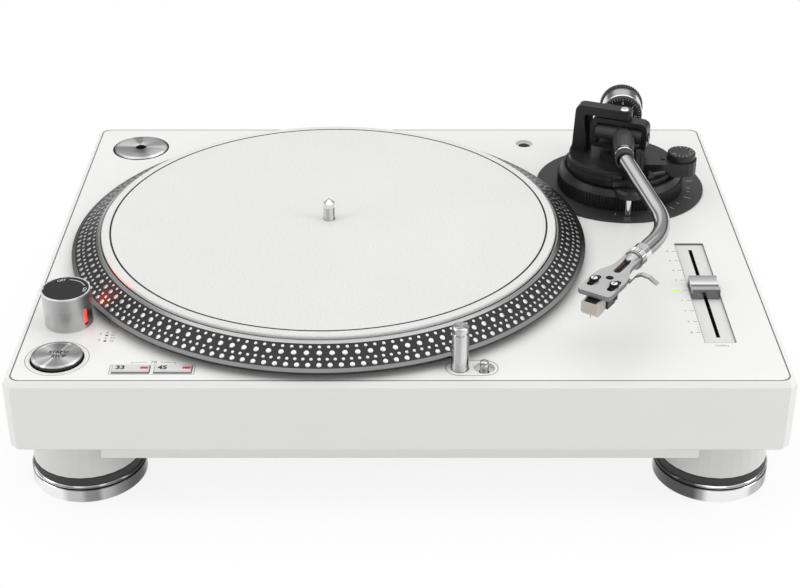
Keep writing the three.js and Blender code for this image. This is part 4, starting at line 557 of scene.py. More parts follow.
# CAD nodes whose shape is kept: material, bevel, smoothing and the nodes
for mat, bevel, smooth, dressed in (
    ("white", 0.4, soft_edges, "plinth base_cover"),
    ("lacquer", 0.25, soft_edges, "top_panel"),
    ("white", 0.5, soft_edges, "hinge_socket_left hinge_socket_right"),
    ("white_post", 0.0, round_edges, "foot_post_front_left foot_post_front_right"),
    ("white_post", 0.0, round_edges, "foot_post_rear_left foot_post_rear_right"),
    ("black", 0.15, soft_edges, "phono_socket_left phono_socket_right mains_inlet line_switch"),
    ("black", 0.15, soft_edges, "jack_panel fader_unit cue_lifter cue_lever"),
    ("satin", 0.1, soft_edges, "usb_socket ground_terminal"),
    ("green_board", 0.0, soft_edges, "main_board power_supply"),
    ("brass", 0.0, soft_edges, "platter_bearing"),
    ("copper", 0.0, soft_edges, "motor_stator"),
    ("magnet", 0.0, soft_edges, "rotor_magnet"),
    ("chrome", 0.0, soft_edges, "spindle"),
    ("button_face", 0.15, soft_edges, "headshell_holder"),
    ("button_face", 0.5, soft_edges, "speed_button_33 speed_button_45"),
    ("knob_chrome", 0.4, soft_edges, "fader_knob"),
    ("dark_metal", 0.25, soft_edges, "arm_base pivot_bracket gimbal_yoke"),
    ("dark_metal", 0.25, soft_edges, "antiskate_housing arm_rest arm_clamp"),
    ("plate", 0.0, soft_edges, "arm_plate"),
    ("black", 0.0, crisp_edges, "height_ring"),
    ("housing", 0.15, soft_edges, "arm_housing"),
    ("dark_metal", 0.2, crisp_edges, "antiskate_knob"),
    ("chrome", 0.1, soft_edges, "pivot_screw"),
    ("chrome", 0.0, crisp_edges, "locking_collar"),
    ("cast", 0.3, soft_edges, "headshell"),
    ("cast", 0.2, soft_edges, "finger_lift"),
    ("black", 0.2, soft_edges, "cartridge"),
    ("beige", 0.2, soft_edges, "stylus_unit"),
):
    for node in dressed.split():
        dress(node, mat, bevel, smooth)

# Casing: the seam between the deck panel and the plinth
SEAM_OUT, SEAM_LINE, SEAM_CORNER, SEAM_INNER_CORNER = 0.6, 0.8, 6.0, 5.8
seam_x, seam_y = PANEL_X + SEAM_OUT, PANEL_Y + SEAM_OUT
border("panel_seam", (-seam_x, seam_x, -seam_y, seam_y), SEAM_CORNER, SEAM_LINE, SEAM_INNER_CORNER, "seam")

# Feet. The right ones are turned, which moves the painted reflection streaks of their bands
RIGHT_FEET_TURN = 50.0
FOOT_RINGS = (
    ("band", "band_metal", "chrome", 128, [
        (0, 0.0), (32.6, 0.0), (32.9, 0.5), (33.9, 0.6), (34.4, 1.2), (34.4, 8.8), (34.1, 9.15), (33.8, 9.2),
        (0, 9.2),
    ]),
    # The groove ring is near-black painted shade
    ("groove", "gap", "chrome", 128, [(0, 9.1), (33.5, 9.1), (33.5, 10.5), (0, 10.5)]),
    ("bevel", "band_metal", "chrome", 128, [
        (0, 10.4), (33.9, 10.4), (34.35, 10.6), (34.3, 10.9), (33.5, 11.9), (33.2, 12.0), (0, 12.0),
    ]),
    ("pad", "rubber", "black_plastic", 96, [
        (0, 12.0), (33.2, 12.0), (33.25, 12.4), (32.9, 16.6), (32.3, 17.1), (0, 17.1),
    ]),
    ("stud", "satin", "chrome", 32, [(0, 17.1), (4.0, 17.1), (4.0, 30.6), (3.5, 31.1), (0, 31.1)]),
)
for corner in ("front_left", "front_right", "rear_left", "rear_right"):
    foot = "foot_" + corner
    foot_at = middle(foot, -DECK_Z) @ spun(RIGHT_FEET_TURN if corner.endswith("right") else 0.0)
    for ring, mat, slot, sides, profile in FOOT_RINGS:
        turn(f"{foot}_{ring}", profile, foot_at, mat, foot, (foot,) if ring == "band" else (), sides)

# Platter, strobe dots, slipmat and spindle
LOW_R, LOW_Z, HIGH_R, HIGH_Z = 162.9, 6.9, 148.8, 14.9
PLATTER_LOW, PLATTER_TOP, PLATTER_BORE = 10.3, 14.9, 3.9
platter_at = middle("platter")
turn("platter_body", [
    (PLATTER_BORE, PLATTER_LOW), (152.9, PLATTER_LOW), (157.5, 3.7), (164.4, 3.7), (165.5, 4.8), (165.5, 5.6),
    (165.2, 5.9), (LOW_R, LOW_Z), (HIGH_R, HIGH_Z), (147.5, 15.9), (146.2, PLATTER_TOP),
    (PLATTER_BORE, PLATTER_TOP), (PLATTER_BORE, PLATTER_LOW),
], platter_at, "platter", "turning_platter", ("platter",), sides=256)
turn("platter_crown", [
    (146.35, 14.8), (149.2, 14.75), (149.3, 14.95), (149.0, 15.15), (147.75, 16.1), (147.2, 16.15),
    (146.45, 15.6), (146.35, 14.8),
], platter_at, "crown", "turning_platter", sides=256)
turn("platter_lip", [(163.0, 6.7), (165.3, 5.55), (165.5, 5.65), (165.45, 5.95), (163.1, 7.0), (163.0, 6.7)],
     platter_at, "lip", "turning_platter", sides=256)

# Rows of dots: how many, how far up the cone and their radius
DOT_ROWS = ((180, 0.86, 0.95), (133, 0.62, 1.55), (216, 0.37, 0.95), (160, 0.14, 1.45))
DOT_SIDES = 14
DOT_DOME = ((1.0, 0.01), (0.85, 0.12), (0.45, 0.19))
DOT_TOP = 0.21


def strobe_dots():
    """Four rows of low domes on the cone. The counts give the usual still patterns."""
    bm = bmesh.new()
    slope = Matrix.Rotation(math.atan2(HIGH_Z - LOW_Z, LOW_R - HIGH_R), 4, "Y")
    for count, share, radius in DOT_ROWS:
        r = LOW_R + (HIGH_R - LOW_R) * share
        z = LOW_Z + (HIGH_Z - LOW_Z) * share
        for i in range(count):
            spot = spun(360.0 * i / count - 90.0) @ moved(r, 0.0, z) @ slope
            rings = []
            for reach, rise in DOT_DOME:
                points = circle(radius * reach, DOT_SIDES)
                rings.append([bm.verts.new(spot @ (Vector((x, y, rise)) * MM)) for x, y in points])
            top = bm.verts.new(spot @ Vector((0.0, 0.0, DOT_TOP * MM)))
            for k in range(DOT_SIDES):
                n = (k + 1) % DOT_SIDES
                for low, high in zip(rings, rings[1:]):
                    bm.faces.new((low[k], low[n], high[n], high[k]))
                bm.faces.new((rings[-1][k], rings[-1][n], top))
    piece_from(bm, "strobe_dots", "dot", "turning_platter", sharp=60.0, where=platter_at)


strobe_dots()

MAT_R, MAT_BORE, MAT_LOW, MAT_TOP = 145.85, 3.95, 15.2, 18.0
mat_piece = turn("slipmat_felt", [
    (MAT_BORE, MAT_LOW), (145.2, MAT_LOW), (MAT_R, 15.7), (MAT_R, 17.3), (145.3, 17.9), (144.6, MAT_TOP),
    (MAT_BORE, MAT_TOP), (MAT_BORE, MAT_LOW),
], platter_at, "felt", "slipmat", ("slipmat",), sides=256)
ring_piece = tube_wall("slipmat_ring", 139.5, 140.7, MAT_TOP, 18.03, platter_at, "felt_ink", "slipmat",
                       sides=256)
turn("spindle_pin", [
    (0, -36.0), (3.6, -36.0), (3.6, 26.6), (3.5, 27.0), (1.0, 31.7), (0.6, 32.0), (0, 32.0),
], platter_at, "lamp_metal", "turning_platter", sides=48)

# Start button
LETTER_GAP = 0.02
start_at = middle("start_button")
turn("start_face", [
    (0, 1.6), (14.3, 1.6), (14.75, 2.0), (14.6, 2.35), (13.4, 2.8), (12.7, 2.8), (12.4, 2.62), (0, 2.6),
], start_at, "start_metal", "start_button", ("start_button",), sides=128)
turn("start_side", [(0, -4.4), (14.7, -4.4), (14.75, 1.7), (0, 1.7)], start_at, "black_gloss",
     "start_button")
for name, word, x, y in (("start_word", "START/", 0.8, 2.6), ("stop_word", "STOP", 1.6, -1.8)):
    lettering(name, word, 3.5, "ink_dark", "start_button", start_at @ moved(x, y, 2.62), bold=0.2)
# Painted shade: a near-black wall in the gap round the button
tube_wall("start_well", 14.95, 15.66, -4.9, -0.25, start_at, "gap", "chassis", sides=96)
deck_print("start_ring", circle(18.5, 96), "ink_light", [circle(18.15, 96)], start_at)

# Speed buttons, with the printed frame and bracket round them
border("speed_frame", (-165.9, -117.0, -165.5, -155.2), 0.6, 0.35, 0.5, "ink_light", 2)
for label in ("33", "45"):
    button = "speed_button_" + label
    button_at = middle(button)
    numeral_at = button_at @ moved(-6.0, 0.1, 1.22)
    lettering("numeral_" + label, label, 5.4, "ink_dark", button, numeral_at, bold=0.2)
    plate("speed_lamp_" + label, rounded(5.4, 10.0, -1.1, 1.2, 0.3, 3), 1.18, 1.24, "led_red", button,
          where=button_at)
    deck_print("button_shadow_" + label, box_outline(-10.8, 10.9, -4.5, -3.9), "ink_dark", where=button_at)
    # Painted shade: a near-black wall in the gap round each button
    plate("well_" + label, rounded(-11.0, 11.0, -4.05, 4.05, 0.3, 2), -3.9, -0.3, "gap", "chassis",
          [rounded(-10.8, 10.8, -3.85, 3.85, 0.3, 2)], button_at)
lettering("numeral_78", "78", 4.0, "ink_light", "chassis", flat_at(-141.5, -152.6, LETTER_GAP))
LINE = 0.3
BRACKET_TOP, BRACKET_LOW = -152.45, -154.6
for side, left, right, drop in (("left", -154.0, -145.0, -154.0), ("right", -138.0, -129.0, -129.0)):
    deck_print("bracket_" + side, box_outline(left, right, BRACKET_TOP - LINE, BRACKET_TOP), "ink_light")
    end = box_outline(drop - LINE / 2, drop + LINE / 2, BRACKET_LOW, BRACKET_TOP)
    deck_print("bracket_end_" + side, end, "ink_light")

# Target lamp and its release
lamp_at = middle("target_lamp")
turn("lamp_body", [
    (0, -11.4), (5.0, -11.4), (5.0, 23.3), (4.85, 23.6), (4.5, 23.6), (4.5, 24.6), (4.85, 24.6), (5.0, 24.9),
    (5.0, 27.3), (4.7, 27.75), (4.3, 27.95), (3.6, 28.0), (0, 27.6),
], lamp_at, "lamp_metal", "target_lamp", ("target_lamp",), sides=64)
# Painted shade: a near-black wall in the lamp's gap
tube_wall("lamp_gap", 5.05, 5.38, -11.9, -0.1, lamp_at, "gap", "chassis")
release_at = middle("lamp_release")
turn("release_pin", [
    (0, -8.6), (2.55, -8.6), (2.55, 3.2), (2.35, 3.6), (2.55, 4.0), (2.4, 4.35), (2.1, 4.5), (0, 4.5),
], release_at, "lamp_metal", "lamp_release", ("lamp_release",), sides=48)
# Painted shade: a near-black wall in the release's gap
tube_wall("release_gap", 2.7, 3.0, -5.0, -2.38, release_at, "gap", "chassis")
turn("release_cup", [
    (3.1, -2.38), (5.9, -2.38), (6.05, -0.1), (6.08, -0.1), (6.08, -2.4), (3.1, -2.4), (3.1, -2.38),
], release_at, "recess_floor", "chassis", sides=64)
border("lamp_outline", (25.9, 56.3, -166.8, -150.2), 8.29, 0.4, 7.89, "ink", 16)

# Strobe tower: a drum with a lit window in a notch
WINDOW_FROM, WINDOW_TO = -38.0, -27.0
TOWER_R, NOTCH_R = 14.2, 12.4
tower_at = middle("strobe_tower")
tower_outline = arc(TOWER_R, WINDOW_TO, 360.0 + WINDOW_FROM, 90) + arc(NOTCH_R, WINDOW_FROM, WINDOW_TO, 1)
plate("tower_wall", tower_outline, 2.2, 12.7, "tower_metal", "chassis", where=tower_at,
      replaces=("strobe_tower",))
turn("tower_foot", [(0, 0), (14.4, 0), (14.4, 0.5), (TOWER_R, 0.6), (TOWER_R, 2.2), (0, 2.2)], tower_at,
     "tower_metal", "chassis")
window = arc(13.8, WINDOW_FROM + 0.6, WINDOW_TO - 0.6, 3) + arc(12.45, WINDOW_TO - 0.8, WINDOW_FROM + 0.8, 3)
plate("strobe_window", window, 3.4, 12.6, "red_glow", "chassis", where=tower_at)

# Power cap on the tower, with its pointer notch
CAP_Z, CAP_NOTCH, CAP_NOTCH_R = 13.0, 1.2, 13.0
DISC_Z, DISC_R = 9.0, 13.65


def notched_circle(radius, steps=90):
    edge = math.degrees(math.asin(CAP_NOTCH / radius))
    points = arc(radius, -180.0 + edge, 180.0 - edge, steps)
    return points + [(-CAP_NOTCH_R, CAP_NOTCH), (-CAP_NOTCH_R, -CAP_NOTCH)]


cap_at = middle("power_cap", CAP_Z)
plate("cap_wall", notched_circle(14.6), 0.0, 8.7, "tower_metal", "power_cap", where=cap_at,
      replaces=("power_cap",))
plate("cap_rim", notched_circle(14.5), 8.7, 9.45, "rim_metal", "power_cap", [circle(13.7, 72)],
      cap_at, bevel=0.3)
turn("cap_disc", [(0, 8.6), (DISC_R, 8.6), (DISC_R, 8.95), (0, DISC_Z)], cap_at, "cap_disc", "power_cap")
cap_line = arc(11.5, 22, 88, 20) + arc(11.1, 88, 22, 20)
print_on("cap_arc", cap_line, 8.98, "white_ink", "power_cap", where=cap_at)
for word, degrees in (("OFF", 112), ("ON", -2)):
    word_at = cap_at @ spun(degrees) @ moved(11.2, 0.0, DISC_Z + LETTER_GAP) @ spun(-90.0)
    lettering("cap_" + word, word, 3.0, "white_ink", "power_cap", word_at)

# Legend of the strobe dots beside the tower
LEGEND_X, LEGEND_Y, LEGEND_STEP = -173.2, -119.7, 3.2
for i, (label, mat, radius) in enumerate((("33", "ink_light", 0.6), ("45", "ink", 0.95)) * 2):
    y = LEGEND_Y - LEGEND_STEP * i
    deck_print(f"legend_dot_{i}", circle(radius, 16), mat, where=flat_at(LEGEND_X, y, 0.0))
    lettering(f"legend_{i}", label, 2.6, "ink_light", "chassis", flat_at(LEGEND_X + 3.8, y, LETTER_GAP))
for i in range(2):
    bar_at = flat_at(LEGEND_X - 3.7, LEGEND_Y - LEGEND_STEP * (2 * i + 0.5), 0.0)
    deck_print(f"legend_bar_{i}", box_outline(0.0, LINE, -1.7, 1.7), "ink_light", where=bar_at)
    deck_print(f"legend_foot_{i}", box_outline(-0.9, 0.0, -LINE / 2, LINE / 2), "ink_light", where=bar_at)

# Adaptor in its recess, and the headshell holder's bore, lined with near-black and grey painted shade
adaptor_at = middle("adaptor_45")
turn("adaptor_disc", [
    (3.75, -4.6), (19.2, -4.6), (19.2, 0.1), (19.0, 0.35), (17.7, 1.15), (17.3, 1.2), (4.3, 1.2), (3.9, 1.0),
    (3.75, 0.6), (3.75, -4.6),
], adaptor_at, "adaptor_metal", "adaptor_45", ("adaptor_45",), sides=128)
tube_wall("adaptor_side", 18.9, 19.28, -4.5, 0.0, adaptor_at, "gap", "adaptor_45", sides=128)
tube_wall("adaptor_well", 19.5, 20.38, -4.5, -0.15, adaptor_at, "gap", "chassis", sides=128)
turn("adaptor_bore", [(0, -4.55), (3.7, -4.55), (3.7, 0.7), (3.6, 0.7), (3.6, -4.45), (0, -4.45)],
     adaptor_at, "gap", "adaptor_45", sides=64)
turn("holder_bore", [(0, -33.9), (4.28, -33.9), (4.28, -1.9), (4.1, -1.9), (4.1, -33.7), (0, -33.7)],
     middle("headshell_holder"), "recess_wall_shade", "chassis", sides=48)

# Pitch fader: the recess with painted shade on its walls, its slot with painted shade inside, the scale and
# the lamp
SLOT_X, SLOT_Y, SLOT_WALL = 1.15, 54.3, 0.15
TICK_LEFT, TICK_RIGHT = -12.4, -9.9
SCALE_STEP, FINE_STEP = 12.6, 3.2
SCALE = ("8", "6", "4", "2", "0", "2", "4", "6", "8")
fader_at = middle("fader_knob")
slot = box_outline(-SLOT_X, SLOT_X, -SLOT_Y, SLOT_Y)
bore = box_outline(SLOT_WALL - SLOT_X, SLOT_X - SLOT_WALL, 0.2 - SLOT_Y, SLOT_Y - 0.2)
plate("fader_floor", box_outline(-9.35, 9.35, -61.95, 61.35), -1.2, -1.17, "recess_floor", "chassis",
      [slot], fader_at)
plate("fader_edge", box_outline(-9.4, 9.4, -62.0, 61.4), -1.18, -0.02, "recess_wall_shade", "chassis",
      [box_outline(-9.15, 9.15, -61.75, 61.0)], fader_at)
plate("fader_slot", slot, -3.98, -1.16, "gap", "chassis", [bore], fader_at)
for i, label in enumerate(SCALE):
    y = SCALE_STEP * (4 - i)
    deck_print(f"tick_{i}", box_outline(TICK_LEFT, TICK_RIGHT, y - 0.22, y + 0.22), "ink", where=fader_at)
    if label != "0":
        lettering(f"scale_{i}", label, 2.6, "ink", "chassis", fader_at @ moved(-15.2, y, LETTER_GAP))
lettering("tempo_word", "TEMPO", 2.6, "ink_light", "chassis", fader_at @ moved(0.0, -65.4, LETTER_GAP))
for i in range(3):
    y = FINE_STEP * (i - 1) - 3.5 * SCALE_STEP
    tick = box_outline(TICK_RIGHT - 1.3, TICK_RIGHT, y - LINE / 2, y + LINE / 2)
    deck_print(f"fine_tick_{i}", tick, "ink_light", where=fader_at)
plate("pitch_lamp", rounded(-19.8, -14.4, -1.0, 0.9, 0.6, 4), 0.0, 0.12, "led_green", "chassis",
      where=fader_at, bevel=0.05)

# Tonearm. Its own frame has -Y ahead, so AHEAD and BEHIND turn a lathe's +Z along the arm
ARM_Z, ARM_TURN = 39.5, -5.3
TUBE_START, TUBE_R = 25.3, 5.0
FIRST_BEND, SECOND_BEND = 13.9, -41.6
COLLAR_GAP, SHELL_AHEAD = 0.3, 12.3
BEND_STEPS = 16
AHEAD = Matrix.Rotation(math.radians(90.0), 4, "X")
BEHIND = Matrix.Rotation(math.radians(-90.0), 4, "X")
arm_at = middle("arm_plate", ARM_Z) @ spun(ARM_TURN)


def tube_route():
    """Points and headings along the tube's S, in the arm's frame."""
    x, y, heading = 0.0, -TUBE_START, 0.0
    route = [(x, y, heading)]

    def straight(distance):
        nonlocal x, y
        x += distance * math.sin(heading)
        y -= distance * math.cos(heading)
        route.append((x, y, heading))

    def bend(reach, degrees):
        nonlocal x, y, heading
        first = (x, y)
        corner = (x + reach * math.sin(heading), y - reach * math.cos(heading))
        heading += math.radians(degrees)
        last = (corner[0] + reach * math.sin(heading), corner[1] - reach * math.cos(heading))
        axes = list(zip(first, corner, last))
        for i in range(1, BEND_STEPS):
            t = i / BEND_STEPS
            px, py = ((1 - t) ** 2 * a + 2 * t * (1 - t) * b + t * t * c for a, b, c in axes)
            dx, dy = ((1 - t) * (b - a) + t * (c - b) for a, b, c in axes)
            route.append((px, py, math.atan2(dx, -dy)))
        x, y = last
        route.append((x, y, heading))

    straight(10.7)
    bend(4.0, FIRST_BEND)
    straight(72.7)
    bend(24.0, SECOND_BEND)
    straight(12.4)
    return route


def tube_mesh(route, radius, sides=32):
    """A tube along the route. Its value "around" is 0 at the underside, 0.25 on the right and 0.5 on top."""
    bm = bmesh.new()
    around = bm.verts.layers.float.new("around")
    rings = []
    for x, y, heading in route:
        ring = []
        for i in range(sides):
            angle = 2 * math.pi * i / sides - math.pi / 2
            across, rise = radius * math.cos(angle), radius * math.sin(angle)
            place = (x + across * math.cos(heading), y + across * math.sin(heading), rise)
            vert = bm.verts.new(Vector(place) * MM)
            vert[around] = i / sides
            ring.append(vert)
        rings.append(ring)
    for low, high in zip(rings, rings[1:]):
        for i in range(sides):
            j = (i + 1) % sides
            bm.faces.new((low[i], low[j], high[j], high[i]))
    bm.faces.new(rings[0])
    bm.faces.new(rings[-1])
    return bm


route = tube_route()
piece_from(tube_mesh(route, TUBE_R), "arm_pipe", "tube_metal", "tonearm", ("arm_tube",),
           where=arm_at)
turn("arm_seal", [
    (5.02, 36.6), (6.1, 36.6), (6.35, 37.0), (6.35, 43.2), (6.1, 43.6), (5.02, 43.6), (5.02, 36.6),
], arm_at @ AHEAD, "rubber", "tonearm", sides=64)
turn("arm_root_ring", [
    (5.02, 31.05), (5.6, 31.05), (5.9, 31.4), (5.75, 33.2), (6.35, 35.8), (6.1, 36.55), (5.02, 36.55),
    (5.02, 31.05),
], arm_at @ AHEAD, "chrome", "tonearm", sides=64)
collar_at = arm_at @ moved(*route[-1][:2]) @ spun(FIRST_BEND + SECOND_BEND) @ moved(0.0, -COLLAR_GAP)
tube_wall("arm_nose", 2.9, 3.98, -0.5, 3.0, collar_at @ AHEAD, "chrome", "tonearm", sides=48)

# Counterweight and stylus force dial
AXLE_R = 4.95


def ribbed(radius, ribs, depth):
    """A circle with flat ribs."""
    points = []
    for i in range(ribs):
        for share, reach in ((0.0, radius - depth), (0.2, radius), (0.6, radius), (0.8, radius - depth)):
            angle = 2 * math.pi * (i + share) / ribs
            points.append((reach * math.cos(angle), reach * math.sin(angle)))
    return points


weight_at = arm_at @ BEHIND
turn("weight_band", [
    (AXLE_R, 33.7), (13.4, 33.7), (13.8, 33.85), (14.2, 34.4), (14.2, 45.4), (13.9, 45.9), (AXLE_R, 45.9),
    (AXLE_R, 33.7),
], weight_at, "polished", "counterweight", ("counterweight",), sides=128)
plate("weight_knurl", ribbed(15.0, 54, 0.5), 46.1, 51.6, "dark_metal", "counterweight",
      [circle(AXLE_R, 48)], weight_at)
turn("weight_end", [
    (AXLE_R, 45.9), (14.3, 45.9), (14.3, 51.7), (14.45, 51.7), (14.45, 52.0), (14.0, 52.4), (6.2, 52.5),
    (AXLE_R, 52.5), (AXLE_R, 45.9),
], weight_at, "steel_dark", "counterweight", sides=96)
turn("dial_body", [
    (AXLE_R, 30.1), (13.0, 30.0), (13.35, 30.15), (13.9, 30.9), (13.9, 32.7), (13.4, 33.3), (AXLE_R, 33.35),
    (AXLE_R, 30.1),
], weight_at, "black", "weight_dial", ("weight_dial",), sides=128)
DIAL_FACE, DIAL_EDGE, DIAL_STEP, TICKS_A_NUMERAL = 30.0, 12.9, -45.0, 5
dial_face = arm_at @ AHEAD @ moved(0.0, 0.0, -DIAL_FACE)
for i, label in enumerate(("0", ".5", "1", "1.5", "2", "2.5", "3", "3.5")):
    label_at = dial_face @ spun(DIAL_STEP * i) @ moved(0.0, 9.4, 0.01)
    lettering(f"force_{i}", label, 2.7, "white_ink", "weight_dial", label_at)
    for k in range(TICKS_A_NUMERAL):
        tick = box_outline(-0.11, 0.11, 11.9 if k else 11.2, DIAL_EDGE)
        tick_at = dial_face @ spun(DIAL_STEP * (i + k / TICKS_A_NUMERAL))
        print_on(f"force_tick_{i}_{k}", tick, 0.0, "white_ink", "weight_dial", where=tick_at)

# Height scale on the arm's plate, scale on the anti-skate knob, lifter sleeve
PLATE_TOP, KNOB_TOP = 1.2, 30.4
HEIGHT_TICKS = (
    (5.0, 46.8, 51.7), (-8.2, 45.6, 48.8), (-15.0, 46.6, 48.8), (-26.0, 46.6, 51.6), (-39.5, 46.0, 48.2),
    (-50.0, 46.6, 50.6), (-62.0, 46.0, 48.2), (-100.0, 46.0, 48.2),
)
for i, (degrees, start, end) in enumerate(HEIGHT_TICKS):
    tick_at = middle("arm_plate", PLATE_TOP) @ spun(degrees)
    tick = box_outline(start, end, -0.16, 0.16)
    print_on(f"height_tick_{i}", tick, 0.0, "white_ink", "chassis", where=tick_at)
for i in range(14):
    tick_at = middle("antiskate_knob", KNOB_TOP) @ spun(20.0 * i - 150.0)
    tick = box_outline(7.2, 8.4, -0.12, 0.12)
    print_on(f"skate_tick_{i}", tick, 0.0, "white_ink", "antiskate_knob", where=tick_at)
    if i % 2 == 0:
        lettering(f"skate_{i}", str(i // 2), 1.6, "white_ink", "antiskate_knob",
                  tick_at @ moved(5.9, 0.0, LETTER_GAP) @ spun(-90.0))
turn("lifter_sleeve", [(2.12, 1.7), (2.25, 1.8), (2.25, 15.9), (2.12, 16.0), (2.12, 1.7)],
     middle("arm_plate") @ moved(0.0, -47.5), "chrome", "cue_lifter", sides=32)

# Headshell: screws in their slots, the window with its leads, and the hole
# The near-black pieces below are painted shade: under the screw heads, in and round their slots, in the screw
# slots, in the window, round the hole and over the guard
SCREW_X, SCREW_Y, SCREW_TOP = 6.35, -39.0, 5.0
shell_at = collar_at @ moved(0.0, -SHELL_AHEAD)


def shell_plate(name, outline, low, high, where=shell_at):
    plate(name, outline, low, high, "gap", "headshell", where=where)


for tag, side in (("left", -1), ("right", 1)):
    screw_at = shell_at @ moved(side * SCREW_X, SCREW_Y)
    turn("shell_seat_" + tag, [(0, 3.05), (2.7, 3.05), (2.7, 4.6), (2.6, 4.76), (0, 4.76)], screw_at, "gap",
         "headshell", sides=32)
    turn("shell_screw_" + tag, [(0, 4.72), (1.95, 4.72), (1.95, 4.85), (1.65, SCREW_TOP), (0, SCREW_TOP)],
         screw_at, "screw_metal", "headshell", sides=32)
    shell_plate("shell_edge_" + tag, rounded(-2.2, 2.2, -4.4, 4.4, 2.1, 8), 3.0, 3.06, screw_at)
    shell_plate("shell_slot_" + tag, rounded(-1.2, 1.2, -4.0, 4.0, 1.1, 6), 1.2, 2.4, screw_at)
    shell_plate("screw_slot_" + tag, box_outline(-0.28, 0.28, -1.7, 1.7), 4.98, 5.05, screw_at)
shell_plate("window_floor", rounded(-2.0, 2.0, -23.9, -7.3, 1.8, 6), 1.8, 1.86)
for i, (x, mat) in enumerate(((-0.9, "wire_red"), (0.9, "wire_dark"))):
    lead_at = shell_at @ moved(x, 0.0, 2.2) @ AHEAD
    turn(f"lead_{i}", [(0, 9.2), (0.3, 9.2), (0.3, 19.0), (0, 19.0)], lead_at, mat, "headshell",
         sides=16)
turn("shell_hole", [(1.2, 2.9), (2.3, 2.9), (2.3, 3.06), (1.7, 3.06), (1.2, 2.9)],
     shell_at @ moved(0.0, -31.7), "gap", "headshell", sides=32)
shell_plate("guard_dark", box_outline(-3.7, 3.7, -56.2, -47.0), -1.6, -1.5)
# Painted shade: a near-black disc for the recess of a screw on the arm base
print_on("plate_screw", circle(1.5, 24, 26.9, -10.7), 25.6, "gap", "arm_base", where=middle("arm_plate"))


# Floor: mirrors and the camera see it as nearly white, and it keeps its shadow
FLOOR_WHITE, FLOOR_PAINT = 0.86, (0.92, 0.92, 0.92, 1.0)
FLOOR_HALF, FLOOR_DROP = 6.0, 0.0002


def added(tree, first, second):
    total = tree.nodes.new("ShaderNodeMath")
    total.operation = "ADD"
    tree.links.new(first, total.inputs[0])
    tree.links.new(second, total.inputs[1])
    return total.outputs["Value"]


def floor_material():
    """Pale paint, mixed with plain white for the rays that look at the floor."""
    mat = bpy.data.materials.new("floor")
    mat.use_nodes = True
    tree = mat.node_tree
    shader = tree.nodes["Principled BSDF"]
    shader.inputs["Base Color"].default_value = FLOOR_PAINT
    shader.inputs["Roughness"].default_value = 0.9
    shader.inputs["Specular IOR Level"].default_value = 0.1
    white = tree.nodes.new("ShaderNodeEmission")
    path = tree.nodes.new("ShaderNodeLightPath")
    seen = added(tree, path.outputs["Is Camera Ray"], path.outputs["Is Glossy Ray"])
    share = tree.nodes.new("ShaderNodeMath")
    share.operation = "MULTIPLY"
    share.inputs[1].default_value = FLOOR_WHITE
    share.use_clamp = True
    tree.links.new(added(tree, seen, path.outputs["Is Transmission Ray"]), share.inputs[0])
    mix = tree.nodes.new("ShaderNodeMixShader")
    tree.links.new(share.outputs["Value"], mix.inputs["Fac"])
    tree.links.new(shader.outputs["BSDF"], mix.inputs[1])
    tree.links.new(white.outputs["Emission"], mix.inputs[2])
    tree.links.new(mix.outputs["Shader"], tree.nodes["Material Output"].inputs["Surface"])
    return mat


floor_mesh = bpy.data.meshes.new("floor")
floor_bm = bmesh.new()
bmesh.ops.create_grid(floor_bm, x_segments=1, y_segments=1, size=FLOOR_HALF)
floor_bm.to_mesh(floor_mesh)
floor_bm.free()
floor = bpy.data.objects.new("floor", floor_mesh)
bpy.context.scene.collection.objects.link(floor)
floor.location = (0.0, 0.0, -FLOOR_DROP)
floor_mesh.materials.append(floor_material())

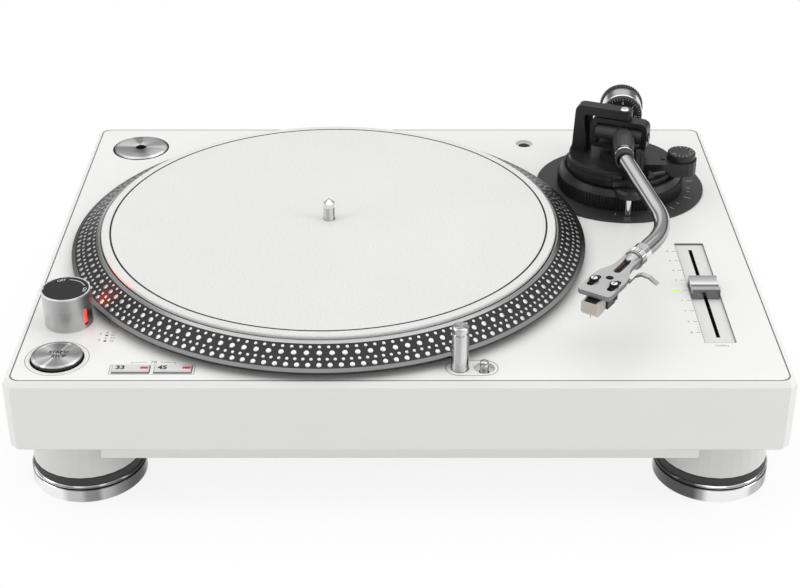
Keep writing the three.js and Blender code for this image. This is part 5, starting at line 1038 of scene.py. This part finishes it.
# World: greys from the nadir to the zenith, with dark bands that polished metal reflects
SKY_SHADES = (
    (0.0, 0.7), (0.5, 0.5), (0.53, 0.2), (0.61, 0.25), (0.66, 0.8), (0.77, 0.85), (0.83, 0.4), (0.92, 0.65),
)
LEFT_SHADE, RIGHT_SHADE, SKY_STRENGTH = 1.06, 0.95, 0.8
world = bpy.data.worlds.new("studio")
bpy.context.scene.world = world
world.use_nodes = True
sky = world.node_tree
background = sky.nodes["Background"]
view = split_axes(sky, sky.nodes.new("ShaderNodeTexCoord").outputs["Generated"])
shades = shade_ramp(sky, remap(sky, view["Z"], -1.0, 1.0, 0.0, 1.0), SKY_SHADES)
sides = remap(sky, view["X"], -1.0, 1.0, LEFT_SHADE, RIGHT_SHADE)
sky.links.new(multiply(sky, shades, sides), background.inputs["Color"])
background.inputs["Strength"].default_value = SKY_STRENGTH
white = sky.nodes.new("ShaderNodeBackground")
choose = sky.nodes.new("ShaderNodeMixShader")
sky.links.new(sky.nodes.new("ShaderNodeLightPath").outputs["Is Camera Ray"], choose.inputs["Fac"])
sky.links.new(background.outputs["Background"], choose.inputs[1])
sky.links.new(white.outputs["Background"], choose.inputs[2])
sky.links.new(choose.outputs["Shader"], sky.nodes["World Output"].inputs["Surface"])


# Lamps, in metres round the part, all aimed at its middle
def lamp(name, kind, where, towards, power):
    light = bpy.data.objects.new(name, bpy.data.lights.new(name, kind))
    light.data.energy = power
    light.location = where
    light.rotation_euler = (Vector(towards) - Vector(where)).to_track_quat("-Z", "Y").to_euler()
    bpy.context.scene.collection.objects.link(light)
    return light.data


AIM = (0.0, 0.0, 0.1)
for name, where, size, power in (
    ("top_light", (0.0, 0.3, 1.6), (3.0, 2.4), 23.4),
    ("left_light", (-1.4, -0.4, 0.8), (0.6, 1.2), 4.5),
    ("right_light", (1.4, -0.4, 0.8), (0.6, 1.2), 6.3),
    ("front_light", (0.0, -1.6, 0.9), (1.8, 0.6), 3.1),
):
    area = lamp(name, "AREA", where, AIM, power)
    area.shape = "RECTANGLE"
    area.size, area.size_y = size

# The strobe's red light on the platter's edge
strobe = lamp("strobe_lamp", "SPOT", at(-183.2, -98.6, 12.2), at(-172.0, -87.0, 8.0), 0.08)
strobe.color = (1.0, 0.06, 0.03)
strobe.spot_size = math.radians(120.0)
strobe.spot_blend = 1.0
strobe.shadow_soft_size = 0.004
